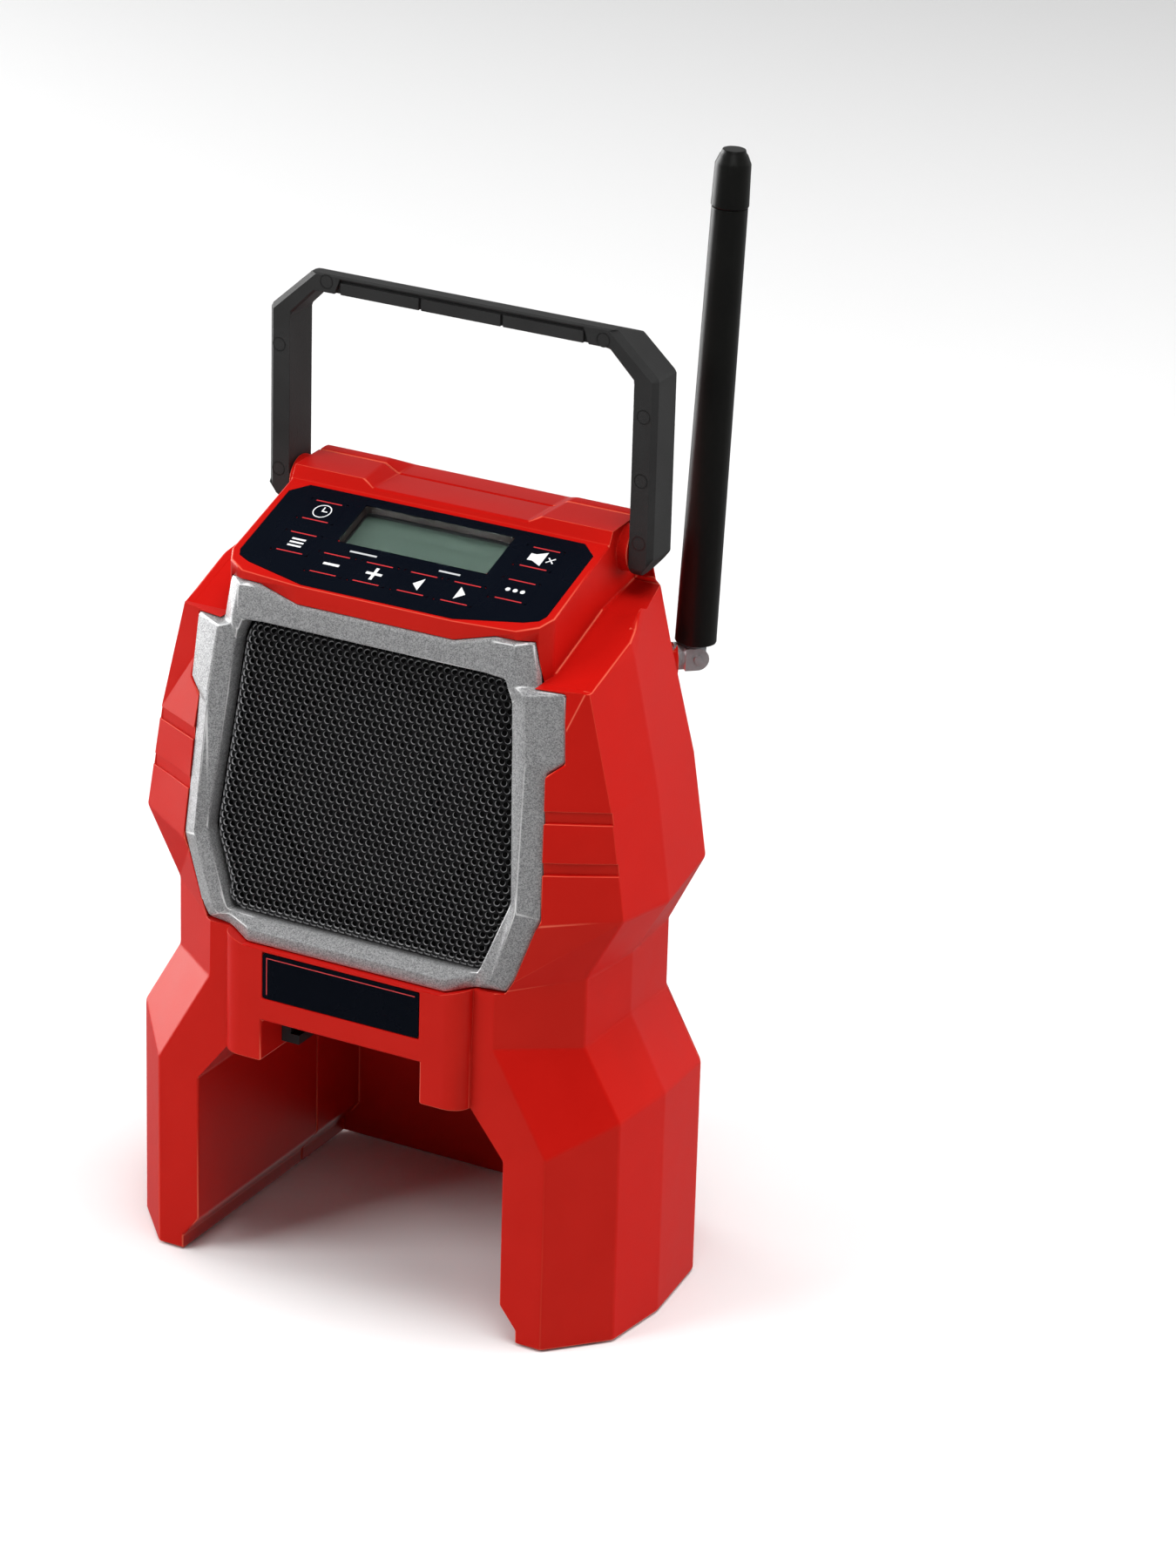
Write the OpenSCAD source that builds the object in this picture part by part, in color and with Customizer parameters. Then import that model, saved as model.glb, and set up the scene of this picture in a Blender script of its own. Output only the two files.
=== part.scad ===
// Jobsite radio: an hourglass casing in two halves, a metal grille in a painted bezel, a sloping control
// panel with a display and eight keys, a fold-down carrying handle, a swivelling rod aerial, and an open
// bay between the feet into which a slide-on tool battery fits.
// Front is -Y, up is +Z. The origin is at the centre of the footprint, on the surface it stands on.

/* [Casing] */
// Width across the side ridges at the base
body_w = 169.2; // [140:0.1:210]
// Width across the side ridges at the waist
waist_w = 145.2; // [126:0.1:180]
// Width across the side ridges at the chest
chest_w = 165.2; // [140:0.1:205]
// Width at the front ends of the shoulders
shoulder_w = 134.6; // [132:0.1:150]
// Width of the front face of the feet
foot_w = 133; // [118:0.5:150]
// Width of the front face at the waist
neck_w = 96.6; // [90:0.1:110]
// Depth from the badge to the back wall
body_d = 107; // [90:1:140]
// Height of the casing, without the handle
body_h = 239; // [205:1:300]
// Wall thickness of both casing halves
wall = 2.5; // [1.8:0.1:3]
// Depth of the rear casing half
rear_d = 32; // [26:1:40]
// How far the badge block stands in front of the feet
block_out = 5.5; // [3:0.5:8]
// How far each side ridge stands out beyond the corners
ridge_out = 2.7; // [1:0.1:5]

/* [Waist] */
// Height of the widest line of the lower lobe
lobe_z = 72; // [60:1:80]
// Height where the waist begins
waist_lo_z = 93.5; // [88:0.5:98]
// Height where the waist ends
waist_hi_z = 115.5; // [110:0.5:122]
// Height of the widest line of the chest
chest_z = 136.3; // [130:0.1:150]

/* [Bezel and grille] */
// Width across the ears of the bezel
bezel_w = 125.4; // [120:0.1:130]
// Lean of the bezel and speaker from upright
face_lean = 7.5; // [4:0.5:10]
// Height of the lower edge of the bezel
bezel_bot_z = 110.3; // [108:0.1:114]
// Thickness of the grille sheet
grille_t = 1; // [0.8:0.1:1.4]
// Diameter of the grille holes
grille_hole_d = 3.6; // [2:0.1:4.5]
// Pitch of the grille holes
grille_pitch = 6; // [5:0.1:9]

/* [Control panel] */
// Slope of the control panel
panel_slope = 20; // [10:1:25]
// Width of the control block
block_w = 107.6; // [100:0.1:110]
// Width of the printed overlay
overlay_w = 102.2; // [98:0.1:104]
// Thickness of the printed overlay
overlay_t = 0.4; // [0.2:0.05:0.6]
// Width of a key
key_w = 12.4; // [10:0.1:12.6]
// Height of a key along the slope
key_h = 9.6; // [8:0.1:10]
// Travel of a key
key_travel = 0.5; // [0.3:0.05:0.6]
// Gap round a key
key_gap = 0.15; // [0.1:0.05:0.3]
// Width of the display window
window_w = 50; // [40:0.5:54]
// Height of the display window along the slope
window_h = 17.6; // [12:0.1:18]

/* [Handle] */
// Width across the outside of the handle
handle_w = 129; // [126:0.5:134]
// Thickness of each handle leg, seen from the front
leg_t = 7.3; // [6:0.1:8]
// Depth of the handle bar, front to back
handle_d = 12.6; // [10:0.1:14]
// Height of the handle above its pivot
handle_rise = 66.5; // [56:0.5:75]
// Diameter of the handle's pivot stubs
pivot_d = 6.4; // [5:0.1:8]
// Radial clearance of the pivot stubs
pivot_clear = 0.05; // [0.02:0.01:0.08]

/* [Aerial] */
// Length of the rubber sleeve with its cap
aerial_len = 150; // [110:1:180]
// Sleeve diameter at the bottom
aerial_base_d = 12.4; // [10:0.1:13]
// Sleeve diameter at the top
aerial_tip_d = 10.6; // [8:0.1:11]
// Direction that the aerial mount faces, from the right side toward the back
aerial_yaw = 42; // [36:1:48]
// Lean of the aerial away from the casing
aerial_lean = 2.3; // [0:0.1:5]

/* [Speaker] */
// Outer diameter of the speaker
speaker_d = 82; // [70:1:86]
// Diameter of the speaker magnet
magnet_d = 50; // [36:1:56]

/* [Battery bay] */
// Width of the bay between the feet
bay_w = 104.6; // [94:0.1:108]
// Height of the bay's ceiling
bay_h = 74; // [66:0.5:76]
// Width of the rail channel above the battery
rail_w = 54; // [48:0.5:58]
// Height of the rail channel's roof
rail_h = 87.2; // [84:0.1:90]
// Depth of the bay from the feet's front face
bay_d = 95; // [80:1:110]

/* [Hidden] */
$fn = 48;
eps = 0.02;
far = 400;

casing_red = "#cc1a1c";
black_plastic = "#2b2b2d";
painted_silver = "#a6a7a9";
bright_metal = "#c9ccd1";
copper_green = "#1f5a3a";

// Casing landmarks, front to back
foot_proud = 0.6;
base_z = foot_proud;
front_y = -body_d / 2;
back_y = body_d / 2;
face_y = front_y + block_out;
split_y = back_y - rear_d;
corner_y = face_y + 17;
ridge_y = corner_y + 23.2;

// Casing landmarks, bottom to top
shoulder_z = body_h - 33.2;
loft_top_z = body_h - 11;
panel_z = body_h - 19.4;
pivot_z = body_h - 8;
ledge_front_z = shoulder_z - 1.8;

// ---- Small helpers -------------------------------------------------------------------------------

function flat(list) = [for (group = list) for (item = group) item];
function unit(v) = v / norm(v);
function inward(p, q) = let (d = unit([q[0] - p[0], q[1] - p[1]])) [-d[1], d[0]];

// The outline moved inward by a distance, for points that run counterclockwise
function inset(pts, by) = [for (i = [0 : len(pts) - 1])
    let (p = pts[(i + len(pts) - 1) % len(pts)], q = pts[i], r = pts[(i + 1) % len(pts)],
         a = inward(p, q), b = inward(q, r), shift = (a + b) * by / (1 + a * b))
    len(q) == 3 ? [q[0] + shift[0], q[1] + shift[1], q[2]] : q + shift];

// A right half outline and its mirror image, as one closed counterclockwise outline
function both(half) = concat(half, [for (i = [len(half) - 1 : -1 : 0])
    if (abs(half[i][0]) > 0.001) len(half[i]) == 3 ? [-half[i][0], half[i][1], half[i][2]]
                                                   : [-half[i][0], half[i][1]]]);

module loft(rings) {
    n = len(rings[0]);
    last = len(rings) - 1;
    sides = flat([for (k = [0 : last - 1]) flat([for (i = [0 : n - 1])
        let (a = k * n + i, b = k * n + (i + 1) % n) [[a, a + n, b + n], [a, b + n, b]]])]);
    polyhedron(flat(rings), concat([[for (i = [0 : n - 1]) i]], sides,
                                   [[for (i = [n - 1 : -1 : 0]) last * n + i]]));
}

// A profile drawn in Y and Z, made a slab that runs along X
module along_x(from_x, to_x, pts) {
    translate([from_x, 0, 0]) rotate([90, 0, 90]) linear_extrude(to_x - from_x) polygon(pts);
}

// A profile drawn in X and Z, made a slab that runs along Y
module along_y(from_y, to_y, pts) {
    translate([0, to_y, 0]) rotate([90, 0, 0]) linear_extrude(to_y - from_y) polygon(pts);
}

module rod_y(from_y, to_y, d) {
    translate([0, to_y, 0]) rotate([90, 0, 0]) cylinder(d = d, h = to_y - from_y);
}

module rounded_plate(w, h, t, r) {
    linear_extrude(t) {
        square([w - 2 * r, h], center = true);
        square([w, h - 2 * r], center = true);
        for (x = [-1, 1], y = [-1, 1]) translate([x * (w / 2 - r), y * (h / 2 - r)]) circle(r);
    }
}

// A path with each of its inner corners made a short curve
function rounded(path, reach) = concat([path[0]], flat([for (i = [1 : len(path) - 2])
    let (from = path[i] + unit(path[i - 1] - path[i]) * reach,
        to = path[i] + unit(path[i + 1] - path[i]) * reach)
    [for (t = [0 : 0.25 : 1]) from * (1 - t) * (1 - t) + path[i] * 2 * t * (1 - t) + to * t * t]]),
    [path[len(path) - 1]]);

// A round lead swept along a path that is never parallel to X
module lead(path, d, reach = 4, sides = 10) {
    way = rounded(path, reach);
    last = len(way) - 1;
    loft([for (i = [0 : last])
        let (along = unit(unit(way[min(i + 1, last)] - way[max(i, 1) - 1])
            + unit(way[min(i, last - 1) + 1] - way[max(i - 1, 0)])),
             across = unit(cross(along, [1, 0, 0])), up = cross(along, across))
        [for (k = [0 : sides - 1]) way[i]
            + d / 2 * (across * cos(360 * k / sides) + up * sin(360 * k / sides))]]);
}

// ---- Casing --------------------------------------------------------------------------------------

// One level of the casing: the right half's five corners, from the front face round to the back wall
function level(front_hw, front_set, front_z, corner_hw, corner_z, ridge_z, seam_z,
               back_hw, back_z, back_in = 0) =
    both([[front_hw, face_y + front_set, front_z],
          [corner_hw, corner_y, corner_z],
          [corner_hw + ridge_out, ridge_y, ridge_z],
          [corner_hw - 0.6, split_y, seam_z],
          [back_hw, back_y - back_in, back_z]]);

body_hw = body_w / 2 - ridge_out;
waist_hw = waist_w / 2 - ridge_out - 0.4;
chest_hw = chest_w / 2 - ridge_out + 1;
shoulder_hw = shoulder_w / 2;
rib_hw = (chest_hw + shoulder_hw) / 2 + 1.8;
rib_z = (chest_z + shoulder_z) / 2 - 2;

casing_levels = [
    level(foot_w / 2, 0, base_z, body_hw, base_z, base_z, base_z, body_hw - 27.9, base_z),
    level(foot_w / 2, 0, lobe_z - 9, body_hw, lobe_z, lobe_z + 1.2, lobe_z - 1, body_hw - 27.9, lobe_z - 2),
    level(neck_w / 2, 0, waist_lo_z + 1.1, waist_hw, waist_lo_z, waist_lo_z + 2.8, waist_lo_z - 1.2,
          waist_hw - 25.4, waist_lo_z - 1.5),
    level(neck_w / 2, 0.4, waist_hi_z - 3, waist_hw, waist_hi_z, waist_hi_z + 0.4, waist_hi_z - 0.5,
          waist_hw - 25.4, waist_hi_z - 0.5),
    level(neck_w / 2 + 7.7, 2, chest_z - 2, chest_hw, chest_z, chest_z - 1.7, chest_z + 1.4,
          chest_hw - 27, chest_z + 0.7),
    level(neck_w / 2 + 5.7, 5.5, rib_z, rib_hw, rib_z, rib_z, rib_z, rib_hw - 27, rib_z),
    level(neck_w / 2 + 3.7, 12.5, shoulder_z - 0.8, shoulder_hw, shoulder_z, shoulder_z + 1,
          shoulder_z - 5, shoulder_hw - 25, shoulder_z - 6),
    level(neck_w / 2 + 1.7, 15, loft_top_z, shoulder_hw - 6.5, loft_top_z, loft_top_z, loft_top_z,
          shoulder_hw - 31, loft_top_z, 8)
];

pivot_y = split_y - 5;
pocket_back_y = pivot_y + 8.2;
rim_x = handle_w / 2 + 0.7;

// What is cut away above the shoulders: the channel for the handle leg, and the rim outside it
channel_cut = [[-far, ledge_front_z - 4], [corner_y + 1, ledge_front_z],
    [split_y - 19.5, ledge_front_z + 12],
               [split_y, ledge_front_z + 15.5], [pocket_back_y, ledge_front_z + 15.5],
               [pocket_back_y, far], [-far, far]];
rim_cut = [[-far, ledge_front_z - 4], [corner_y + 1, ledge_front_z], [split_y - 24.5, ledge_front_z + 10.2],
           [split_y - 4, ledge_front_z + 23.6], [pocket_back_y, loft_top_z - 0.5], [pocket_back_y, far],
           [-far, far]];
rear_cut = [[pocket_back_y - eps, loft_top_z - 0.5], [back_y - 16, loft_top_z - 6],
    [back_y + 1, shoulder_z - 8],
            [far, shoulder_z - 8], [far, far], [pocket_back_y - eps, far]];

// The control block, seen from above and from the side
block_hw = block_w / 2;
block_plan = both([[26, -36.3], [block_hw - 7.8, -34.8], [block_hw - 2.4, -31.6], [block_hw, corner_y + 4],
                   [block_hw - 0.4, 8], [block_hw - 0.4, pocket_back_y], [block_hw - 4, split_y + 14.5],
                   [block_hw - 11, back_y]]);
// The middle of the leaning speaker face. The panel starts just behind the face's top edge
face_mid_z = (bezel_bot_z + body_h) / 2 - 14.7;
face_mid_y = face_y + 4.1;
panel_y = face_mid_y + (body_h - 25.5 - face_mid_z) * tan(face_lean) + 1.45;
function panel_at(y) = panel_z + (y - panel_y) * tan(panel_slope);
brow_y = panel_y + 42.4;
ridge_back_y = brow_y + 18.5;
block_side = [[-60, body_h - 60], [-60, panel_at(-60)], [brow_y - 1.5, panel_at(brow_y - 1.5)],
              [brow_y + 0.5, body_h - 0.8], [ridge_back_y, body_h], [back_y - 13.5, body_h - 7],
              [back_y + 0.2, body_h - 33], [back_y + 0.2, body_h - 60]];
block_low_z = body_h - 52;

module block(shrink, lower) {
    intersection() {
        translate([0, 0, block_low_z - 30]) linear_extrude(far) polygon(inset(block_plan, shrink));
        along_x(-far, far, [for (p = block_side) [p[0] - (p[0] > ridge_back_y ? shrink : 0),
            p[1] - lower]]);
        translate([-far, -far, block_low_z]) cube([2 * far, 2 * far, far]);
    }
}

// The dip between the two brows behind the panel
module brow_dip(lower) {
    translate([0, 0, -lower]) along_y(brow_y - 4, far,
        [[-33, body_h + 1], [-26, body_h - 2.7], [26, body_h - 2.7], [33, body_h + 1]]);
}

module casing_solid() {
    difference() {
        loft(casing_levels);
        along_x(-rim_x, rim_x, channel_cut);
        along_x(rim_x - eps, far, rim_cut);
        along_x(-far, -rim_x + eps, rim_cut);
        along_x(-far, far, rear_cut);
    }
    difference() {
        block(0, 0);
        brow_dip(0);
    }
}

// Everything inside the walls, before the bay is closed off
module casing_hollow() {
    drop = wall * 1.15;
    difference() {
        loft([for (k = [0 : len(casing_levels) - 1]) [for (p = inset(casing_levels[k], wall))
            [p[0], p[1], k == 0 ? base_z + wall : k == len(casing_levels) - 1 ? p[2] - drop : p[2]]]]);
        translate([0, wall, -drop]) along_x(-far, far, channel_cut);
        translate([0, -wall / 2, -drop]) along_x(-far, far, rear_cut);
    }
    difference() {
        block(wall, drop);
        brow_dip(drop);
    }
}

// The bay, seen from the front: battery space between the feet, with a narrower rail channel above
bay_hw = bay_w / 2;
bay_half = [[bay_hw + 5.5, -1], [bay_hw + 5.5, 5], [bay_hw, 12], [bay_hw, bay_h - 14], [bay_hw - 11, bay_h],
            [rail_w / 2, bay_h], [rail_w / 2, rail_h]];
bay_outline = both(bay_half);
bay_back_y = face_y + bay_d;

module bay_space(grow) {
    along_y(front_y - 5, bay_back_y + grow, inset(bay_outline, -grow));
}

// The badge block between the waist and the bay, with smoothly rounded sides
block_side_r = 7;
badge_block_hw = 41.4;
module badge_block() {
    flat_hw = badge_block_hw - block_side_r;
    translate([0, 0, bay_h]) linear_extrude(bezel_bot_z - bay_h + 6) difference() {
        translate([-badge_block_hw, front_y]) square([2 * badge_block_hw, block_out + wall]);
        for (s = [-1, 1]) translate([s * badge_block_hw, front_y]) difference() {
            square([2 * block_side_r, 2 * (block_out)], center = true);
            translate([-s * block_side_r, block_out])
                polygon([for (a = [0 : 9 : 351]) [block_side_r * cos(a), block_out * sin(a)]]);
        }
    }
}

// Where the bezel, grille and speaker sit: the origin is on the bezel's face, Z points outward
module on_face() {
    translate([0, face_mid_y, face_mid_z]) rotate([90 - face_lean, 0, 0]) children();
}
bez_top = (body_h - 25.5 - face_mid_z) / cos(face_lean);
bez_bot = -(face_mid_z - bezel_bot_z) / cos(face_lean);
bez_hw = bezel_w / 2;

// Each corner of the bezel's right half: outer edge, crease and inner edge, as [x, height, outward]
bezel_corners = [
    [[0, bez_top, -0.5], [0, bez_top - 1, 0], [0, bez_top - 7.5, -0.3]],
    [[26.1, bez_top, -0.5], [26.1, bez_top - 1, 0], [26.1, bez_top - 7.5, -0.3]],
    [[39.3, bez_top + 3.6, -0.8], [38.6, bez_top + 2.4, 0], [37, bez_top - 7.5, -0.3]],
    [[bez_hw - 12.3, bez_top + 3.6, -3.6], [bez_hw - 17, bez_top + 2.6, -0.3],
        [bez_hw - 19, bez_top - 8, -0.3]],
    [[bez_hw - 10.4, bez_top - 9.6, -4.6], [bez_hw - 15.3, bez_top - 9.6, -0.2],
        [bez_hw - 17.4, bez_top - 12, -0.6]],
    [[bez_hw - 1.5, bez_top - 9.8, -4.6], [bez_hw - 11.6, bez_top - 11, 0.6],
        [bez_hw - 16.6, bez_top - 14.4, -1.4]],
    [[bez_hw, bez_top - 30, -5.7], [bez_hw - 9.6, bez_top - 31, 0.6], [bez_hw - 15.2, bez_top - 32, -1.8]],
    [[bez_hw - 4.6, bez_top - 34, -3.4], [bez_hw - 9.6, bez_top - 35, 0.6],
        [bez_hw - 14.9, bez_top - 35.6, -1.8]],
    [[bez_hw - 2.6, bez_bot + 27, -4.2], [bez_hw - 8.4, bez_bot + 28.7, 0.6],
        [bez_hw - 11.5, bez_bot + 30.6, -1.8]],
    [[bez_hw - 9.6, bez_bot + 7, -5], [bez_hw - 15.2, bez_bot + 7.4, -1.6],
        [bez_hw - 19.6, bez_bot + 9, -1.6]],
    [[bez_hw - 12.2, bez_bot + 2.6, -5.4], [bez_hw - 17, bez_bot + 5, -2],
        [bez_hw - 20.4, bez_bot + 7.6, -2]],
    [[bez_hw - 20.9, bez_bot + 2.5, -3.6], [bez_hw - 20.8, bez_bot + 6.2, -2.2],
        [bez_hw - 21.4, bez_bot + 7.4, -2.4]],
    [[bez_hw - 29, bez_bot, 0.3], [bez_hw - 29.3, bez_bot + 4.2, 0.7], [bez_hw - 31, bez_bot + 7, -2.4]],
    [[0, bez_bot, 0.3], [0, bez_bot + 4.2, 0.7], [0, bez_bot + 7, -2.4]]
];
bezel_back = -8;
pocket_floor = -9;
baffle_t = 2.5;

// The bezel's outline at one of the three edges, counterclockwise seen from the front
function bezel_ring(edge) = let (half = [for (i = [len(bezel_corners) - 1 : -1 : 0])
    bezel_corners[i][edge]])
    both(half);
function flat_ring(edge) = [for (p = bezel_ring(edge)) [p[0], p[1]]];
bezel_outer = flat_ring(0);
bezel_inner = flat_ring(2);

module baffle() {
    intersection() {
        casing_solid();
        on_face() translate([0, 0, pocket_floor - baffle_t]) linear_extrude(30)
            polygon(inset(bezel_outer, -wall));
    }
}

speaker_hole_d = speaker_d - 14;
speaker_screw_r = speaker_d / 2 - 2.6;
module around_speaker() {
    for (a = [45 : 90 : 315]) rotate(a) translate([speaker_screw_r, 0, 0]) children();
}

bezel_screw_d = 2;
bezel_posts = [[bez_hw - 8, bez_bot + 36], [bez_hw - 8, bez_top - 22]];
module at_bezel_posts() {
    for (p = bezel_posts, s = [-1, 1]) translate([s * p[0], p[1], 0]) children();
}

// Screw positions that join the casing halves, as [x, z]
screw_d = 3;
screw_clear = 0.03;
joint_screws = [[67, 30], [64.5, chest_z + 10], [57.5, shoulder_z - 10]];
module at_joint_screws() {
    for (p = joint_screws, s = [-1, 1]) translate([s * p[0], 0, p[1]]) children();
}

// The sloping panel: the origin is at the middle of its front edge, on the overlay's top
module on_panel() {
    translate([0, panel_y, panel_z]) rotate([panel_slope, 0, 0]) children();
}

overlay_hw = overlay_w / 2;
overlay_half = [[0, -0.2], [25.2, -0.2], [overlay_hw - 5.4, 4.6], [overlay_hw - 1.2, 6.6], [overlay_hw, 9],
                [overlay_hw, 37.8], [overlay_hw - 5, 42.2], [0, 42.2]];
overlay_outline = both(overlay_half);

// Keys, as [x, height up the slope]
side_key_x = overlay_hw - 14.8;
row_key_y = 10.8;
key_places = [[-side_key_x, 32], [-side_key_x, 16.7], [-21.6, row_key_y], [-7.2, row_key_y],
              [7.2, row_key_y], [21.6, row_key_y], [side_key_x, 32], [side_key_x, 16.7]];
window_y = 29.8;

// Depths below the top of the overlay
panel_skin = overlay_t + wall;
key_flange_t = 0.8;
board_top = 9.5;
board_t = 1.6;
control_board_w = 98;
control_board_h = 33.2;
control_board_y = 24.8;
post_d = 5;
post_x = side_key_x + key_w / 2 + 0.6 + 0.4 + post_d / 2;
post_places = [[post_x, control_board_y - 13.2], [post_x, control_board_y + 13.2]];
module at_posts() {
    for (p = post_places, s = [-1, 1]) translate([s * p[0], p[1], 0]) children();
}

// Handle pivots
module at_pivots() {
    for (s = [0, 1]) translate([0, pivot_y, pivot_z]) mirror([s, 0, 0]) rotate([0, 90, 0]) children();
}
pivot_boss_d = 14;
leg_in_x = handle_w / 2 - leg_t;

// The badge's recess
badge_w = 53.4;
badge_h = 14.9;
badge_t = 0.8;
badge_z = bezel_bot_z - 8.2;

// The casing's outline at a height between the chest and the ribs
function chest_slice(z) = let (t = (z - chest_z) / (rib_z - chest_z), low = casing_levels[4],
    high = casing_levels[5])
    [for (i = [0 : len(low) - 1]) [low[i][0] * (1 - t) + high[i][0] * t,
        low[i][1] * (1 - t) + high[i][1] * t]];

// Two shallow bands round each side of the chest, from the bezel to the front corner
band_h = 3.7;
band_depth = 0.7;
band_zs = [rib_z - 3.7, rib_z - 19];
module side_bands() {
    for (z = band_zs) translate([0, 0, z]) linear_extrude(band_h) difference() {
        for (s = [-1, 1]) translate([s * (bez_hw + 8) - 20, face_y]) square([40, corner_y - face_y + 0.5]);
        polygon(inset(chest_slice(z + band_h / 2), band_depth));
    }
}

module casing_shell() {
    difference() {
        union() {
            difference() {
                union() {
                    casing_solid();
                    badge_block();
                }
                difference() {
                    casing_hollow();
                    bay_space(wall);
                }
            }
            baffle();
            intersection() {
                casing_solid();
                at_joint_screws() rod_y(face_y, back_y, 8);
            }
            intersection() {
                casing_solid();
                union() {
                    on_panel() at_posts() translate([0, 0, -board_top])
                        cylinder(d = post_d, h = board_top - 1);
                    at_pivots() translate([0, 0, block_hw - 8]) cylinder(d = pivot_boss_d, h = 7);
                }
            }
            at_pivots() translate([0, 0, block_hw - 3])
                cylinder(d = pivot_boss_d, h = leg_in_x - block_hw + 2.7);
            aerial_boss();
            main_board_posts();
        }
        bay_space(0);
        on_face() {
            translate([0, 0, pocket_floor]) linear_extrude(40) polygon(inset(bezel_outer, -0.2));
            translate([0, 0, pocket_floor - 20]) cylinder(d = speaker_hole_d, h = 30);
            around_speaker() translate([0, 0, pocket_floor - 20])
                cylinder(d = screw_d + 2 * screw_clear, h = 30);
            at_bezel_posts() translate([0, 0, pocket_floor - 20]) cylinder(d = bezel_screw_d + 0.3, h = 30);
        }
        on_panel() {
            translate([0, 0, -overlay_t]) linear_extrude(30) polygon(overlay_outline);
            translate([0, window_y, -30]) rounded_plate(window_w, window_h, 40, 1.5);
            for (p = key_places) translate([p[0], p[1], -20])
                rounded_plate(key_w + 2 * key_gap, key_h + 2 * key_gap, 30, 1);
            at_posts() translate([0, 0, -board_top - 1]) cylinder(d = 2 + 2 * screw_clear, h = 6);
        }
        at_pivots() translate([0, 0, block_hw - 20]) cylinder(d = pivot_d + 2 * pivot_clear, h = 40);
        at_joint_screws() {
            rod_y(split_y - 16, back_y + 1, screw_d + 2 * screw_clear);
            rod_y(split_y + 8, back_y + 1, 7);
        }
        translate([-badge_w / 2, front_y - 1, badge_z - badge_h / 2]) cube([badge_w, badge_t + 1, badge_h]);
        for (p = foot_places, s = [-1, 1]) translate([s * p[0], p[1], -1])
            cylinder(d = foot_d, h = 1 + foot_t);
        in_aerial() rotate([0, 90, 0]) translate([0, 0, -40]) cylinder(d = stud_d + 0.2, h = 60);
        translate([0, 0, rail_h - 1]) dock_screw_places() cylinder(d = 2.5 + 2 * screw_clear, h = 9);
        translate([lead_hole_x, bay_back_y - 9, rail_h - 1]) cylinder(d = 9, h = 12);
        at_main_posts() translate([0, 0, -1]) cylinder(d = 2.5 + 2 * screw_clear, h = 8);
        side_bands();
    }
}

foot_d = 12;
foot_t = 1.6;
foot_places = [[69, corner_y + 2], [bay_w / 2 + 12.3, back_y - 22.9]];

module front_casing() {
    color(casing_red) intersection() {
        casing_shell();
        translate([-far, -far, -far]) cube([2 * far, far + split_y, 2 * far]);
    }
}

module rear_casing() {
    color(casing_red) intersection() {
        casing_shell();
        translate([-far, split_y, -far]) cube([2 * far, far, 2 * far]);
    }
}

module casing_screws() {
    color("#8d9094") at_joint_screws() {
        rod_y(split_y + 8, split_y + 10.4, 5.6);
        rod_y(split_y - 14, split_y + 8.1, screw_d);
    }
}

module rubber_feet() {
    color("#161616") for (p = foot_places, s = [-1, 1]) translate([s * p[0], p[1], 0])
        cylinder(d = foot_d - 0.2, h = foot_t);
}

// ---- Bezel, grille and badge ---------------------------------------------------------------------

module speaker_bezel() {
    back = [for (p = bezel_ring(0)) [p[0], p[1], bezel_back]];
    inner_back = [for (p = bezel_ring(2)) [p[0], p[1], bezel_back]];
    rings = [back, bezel_ring(0), bezel_ring(1), bezel_ring(2), inner_back];
    n = len(back);
    color(painted_silver) on_face() difference() {
        union() {
            polyhedron(flat(rings), flat([for (k = [0 : 4]) flat([for (i = [0 : n - 1])
                let (a = k * n + i, b = k * n + (i + 1) % n, c = ((k + 1) % 5) * n + (i + 1) % n,
                     d = ((k + 1) % 5) * n + i) [[a, d, c], [a, c, b]]])]));
            at_bezel_posts() translate([0, 0, pocket_floor]) cylinder(d = 4.6, h = 1.1);
        }
        at_bezel_posts() translate([0, 0, pocket_floor - 1])
            cylinder(d = bezel_screw_d + 2 * screw_clear, h = 4.6);
    }
}

grille_inset = 0.6;
grille_face = -3.2;
module speaker_grille() {
    edge = inset(bezel_inner, grille_inset);
    color("#1b1c1e") on_face() {
        difference() {
            union() {
                translate([0, 0, pocket_floor]) linear_extrude(grille_t) difference() {
                    polygon(inset(bezel_outer, 2.4));
                    polygon(inset(edge, grille_t));
                    for (p = bezel_posts, s = [-1, 1]) translate([s * p[0], p[1]]) circle(d = 5.4);
                }
                translate([0, 0, pocket_floor + grille_t])
                    linear_extrude(grille_face - pocket_floor - 2 * grille_t)
                    difference() {
                        polygon(edge);
                        polygon(inset(edge, grille_t));
                    }
                translate([0, 0, grille_face - grille_t]) linear_extrude(grille_t) polygon(edge);
            }
            grille_holes();
        }
    }
}

// Staggered round holes over the face of the grille
module grille_holes() {
    row_h = grille_pitch * sin(60);
    rows = floor((bez_top - bez_bot - 26) / 2 / row_h);
    cols = floor((bez_hw - 23) / grille_pitch);
    for (row = [-rows : rows], col = [-cols : cols])
        translate([(col + (row % 2 == 0 ? 0 : 0.5)) * grille_pitch, row * row_h + 1.5, grille_face - 3])
            cylinder(d = grille_hole_d, h = 6, $fn = 24);
}

module bezel_screws() {
    color(bright_metal) on_face() at_bezel_posts() {
        translate([0, 0, pocket_floor - baffle_t - 1.8]) cylinder(d = 4.2, h = 1.8);
        translate([0, 0, pocket_floor - baffle_t - 0.1]) cylinder(d = bezel_screw_d, h = baffle_t + 3);
    }
}

module badge_plate() {
    color("#0b1018") translate([0, front_y + badge_t, badge_z]) rotate([90, 0, 0])
        rounded_plate(badge_w - 0.3, badge_h - 0.3, badge_t, 1);
}

// ---- Control panel -------------------------------------------------------------------------------

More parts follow.
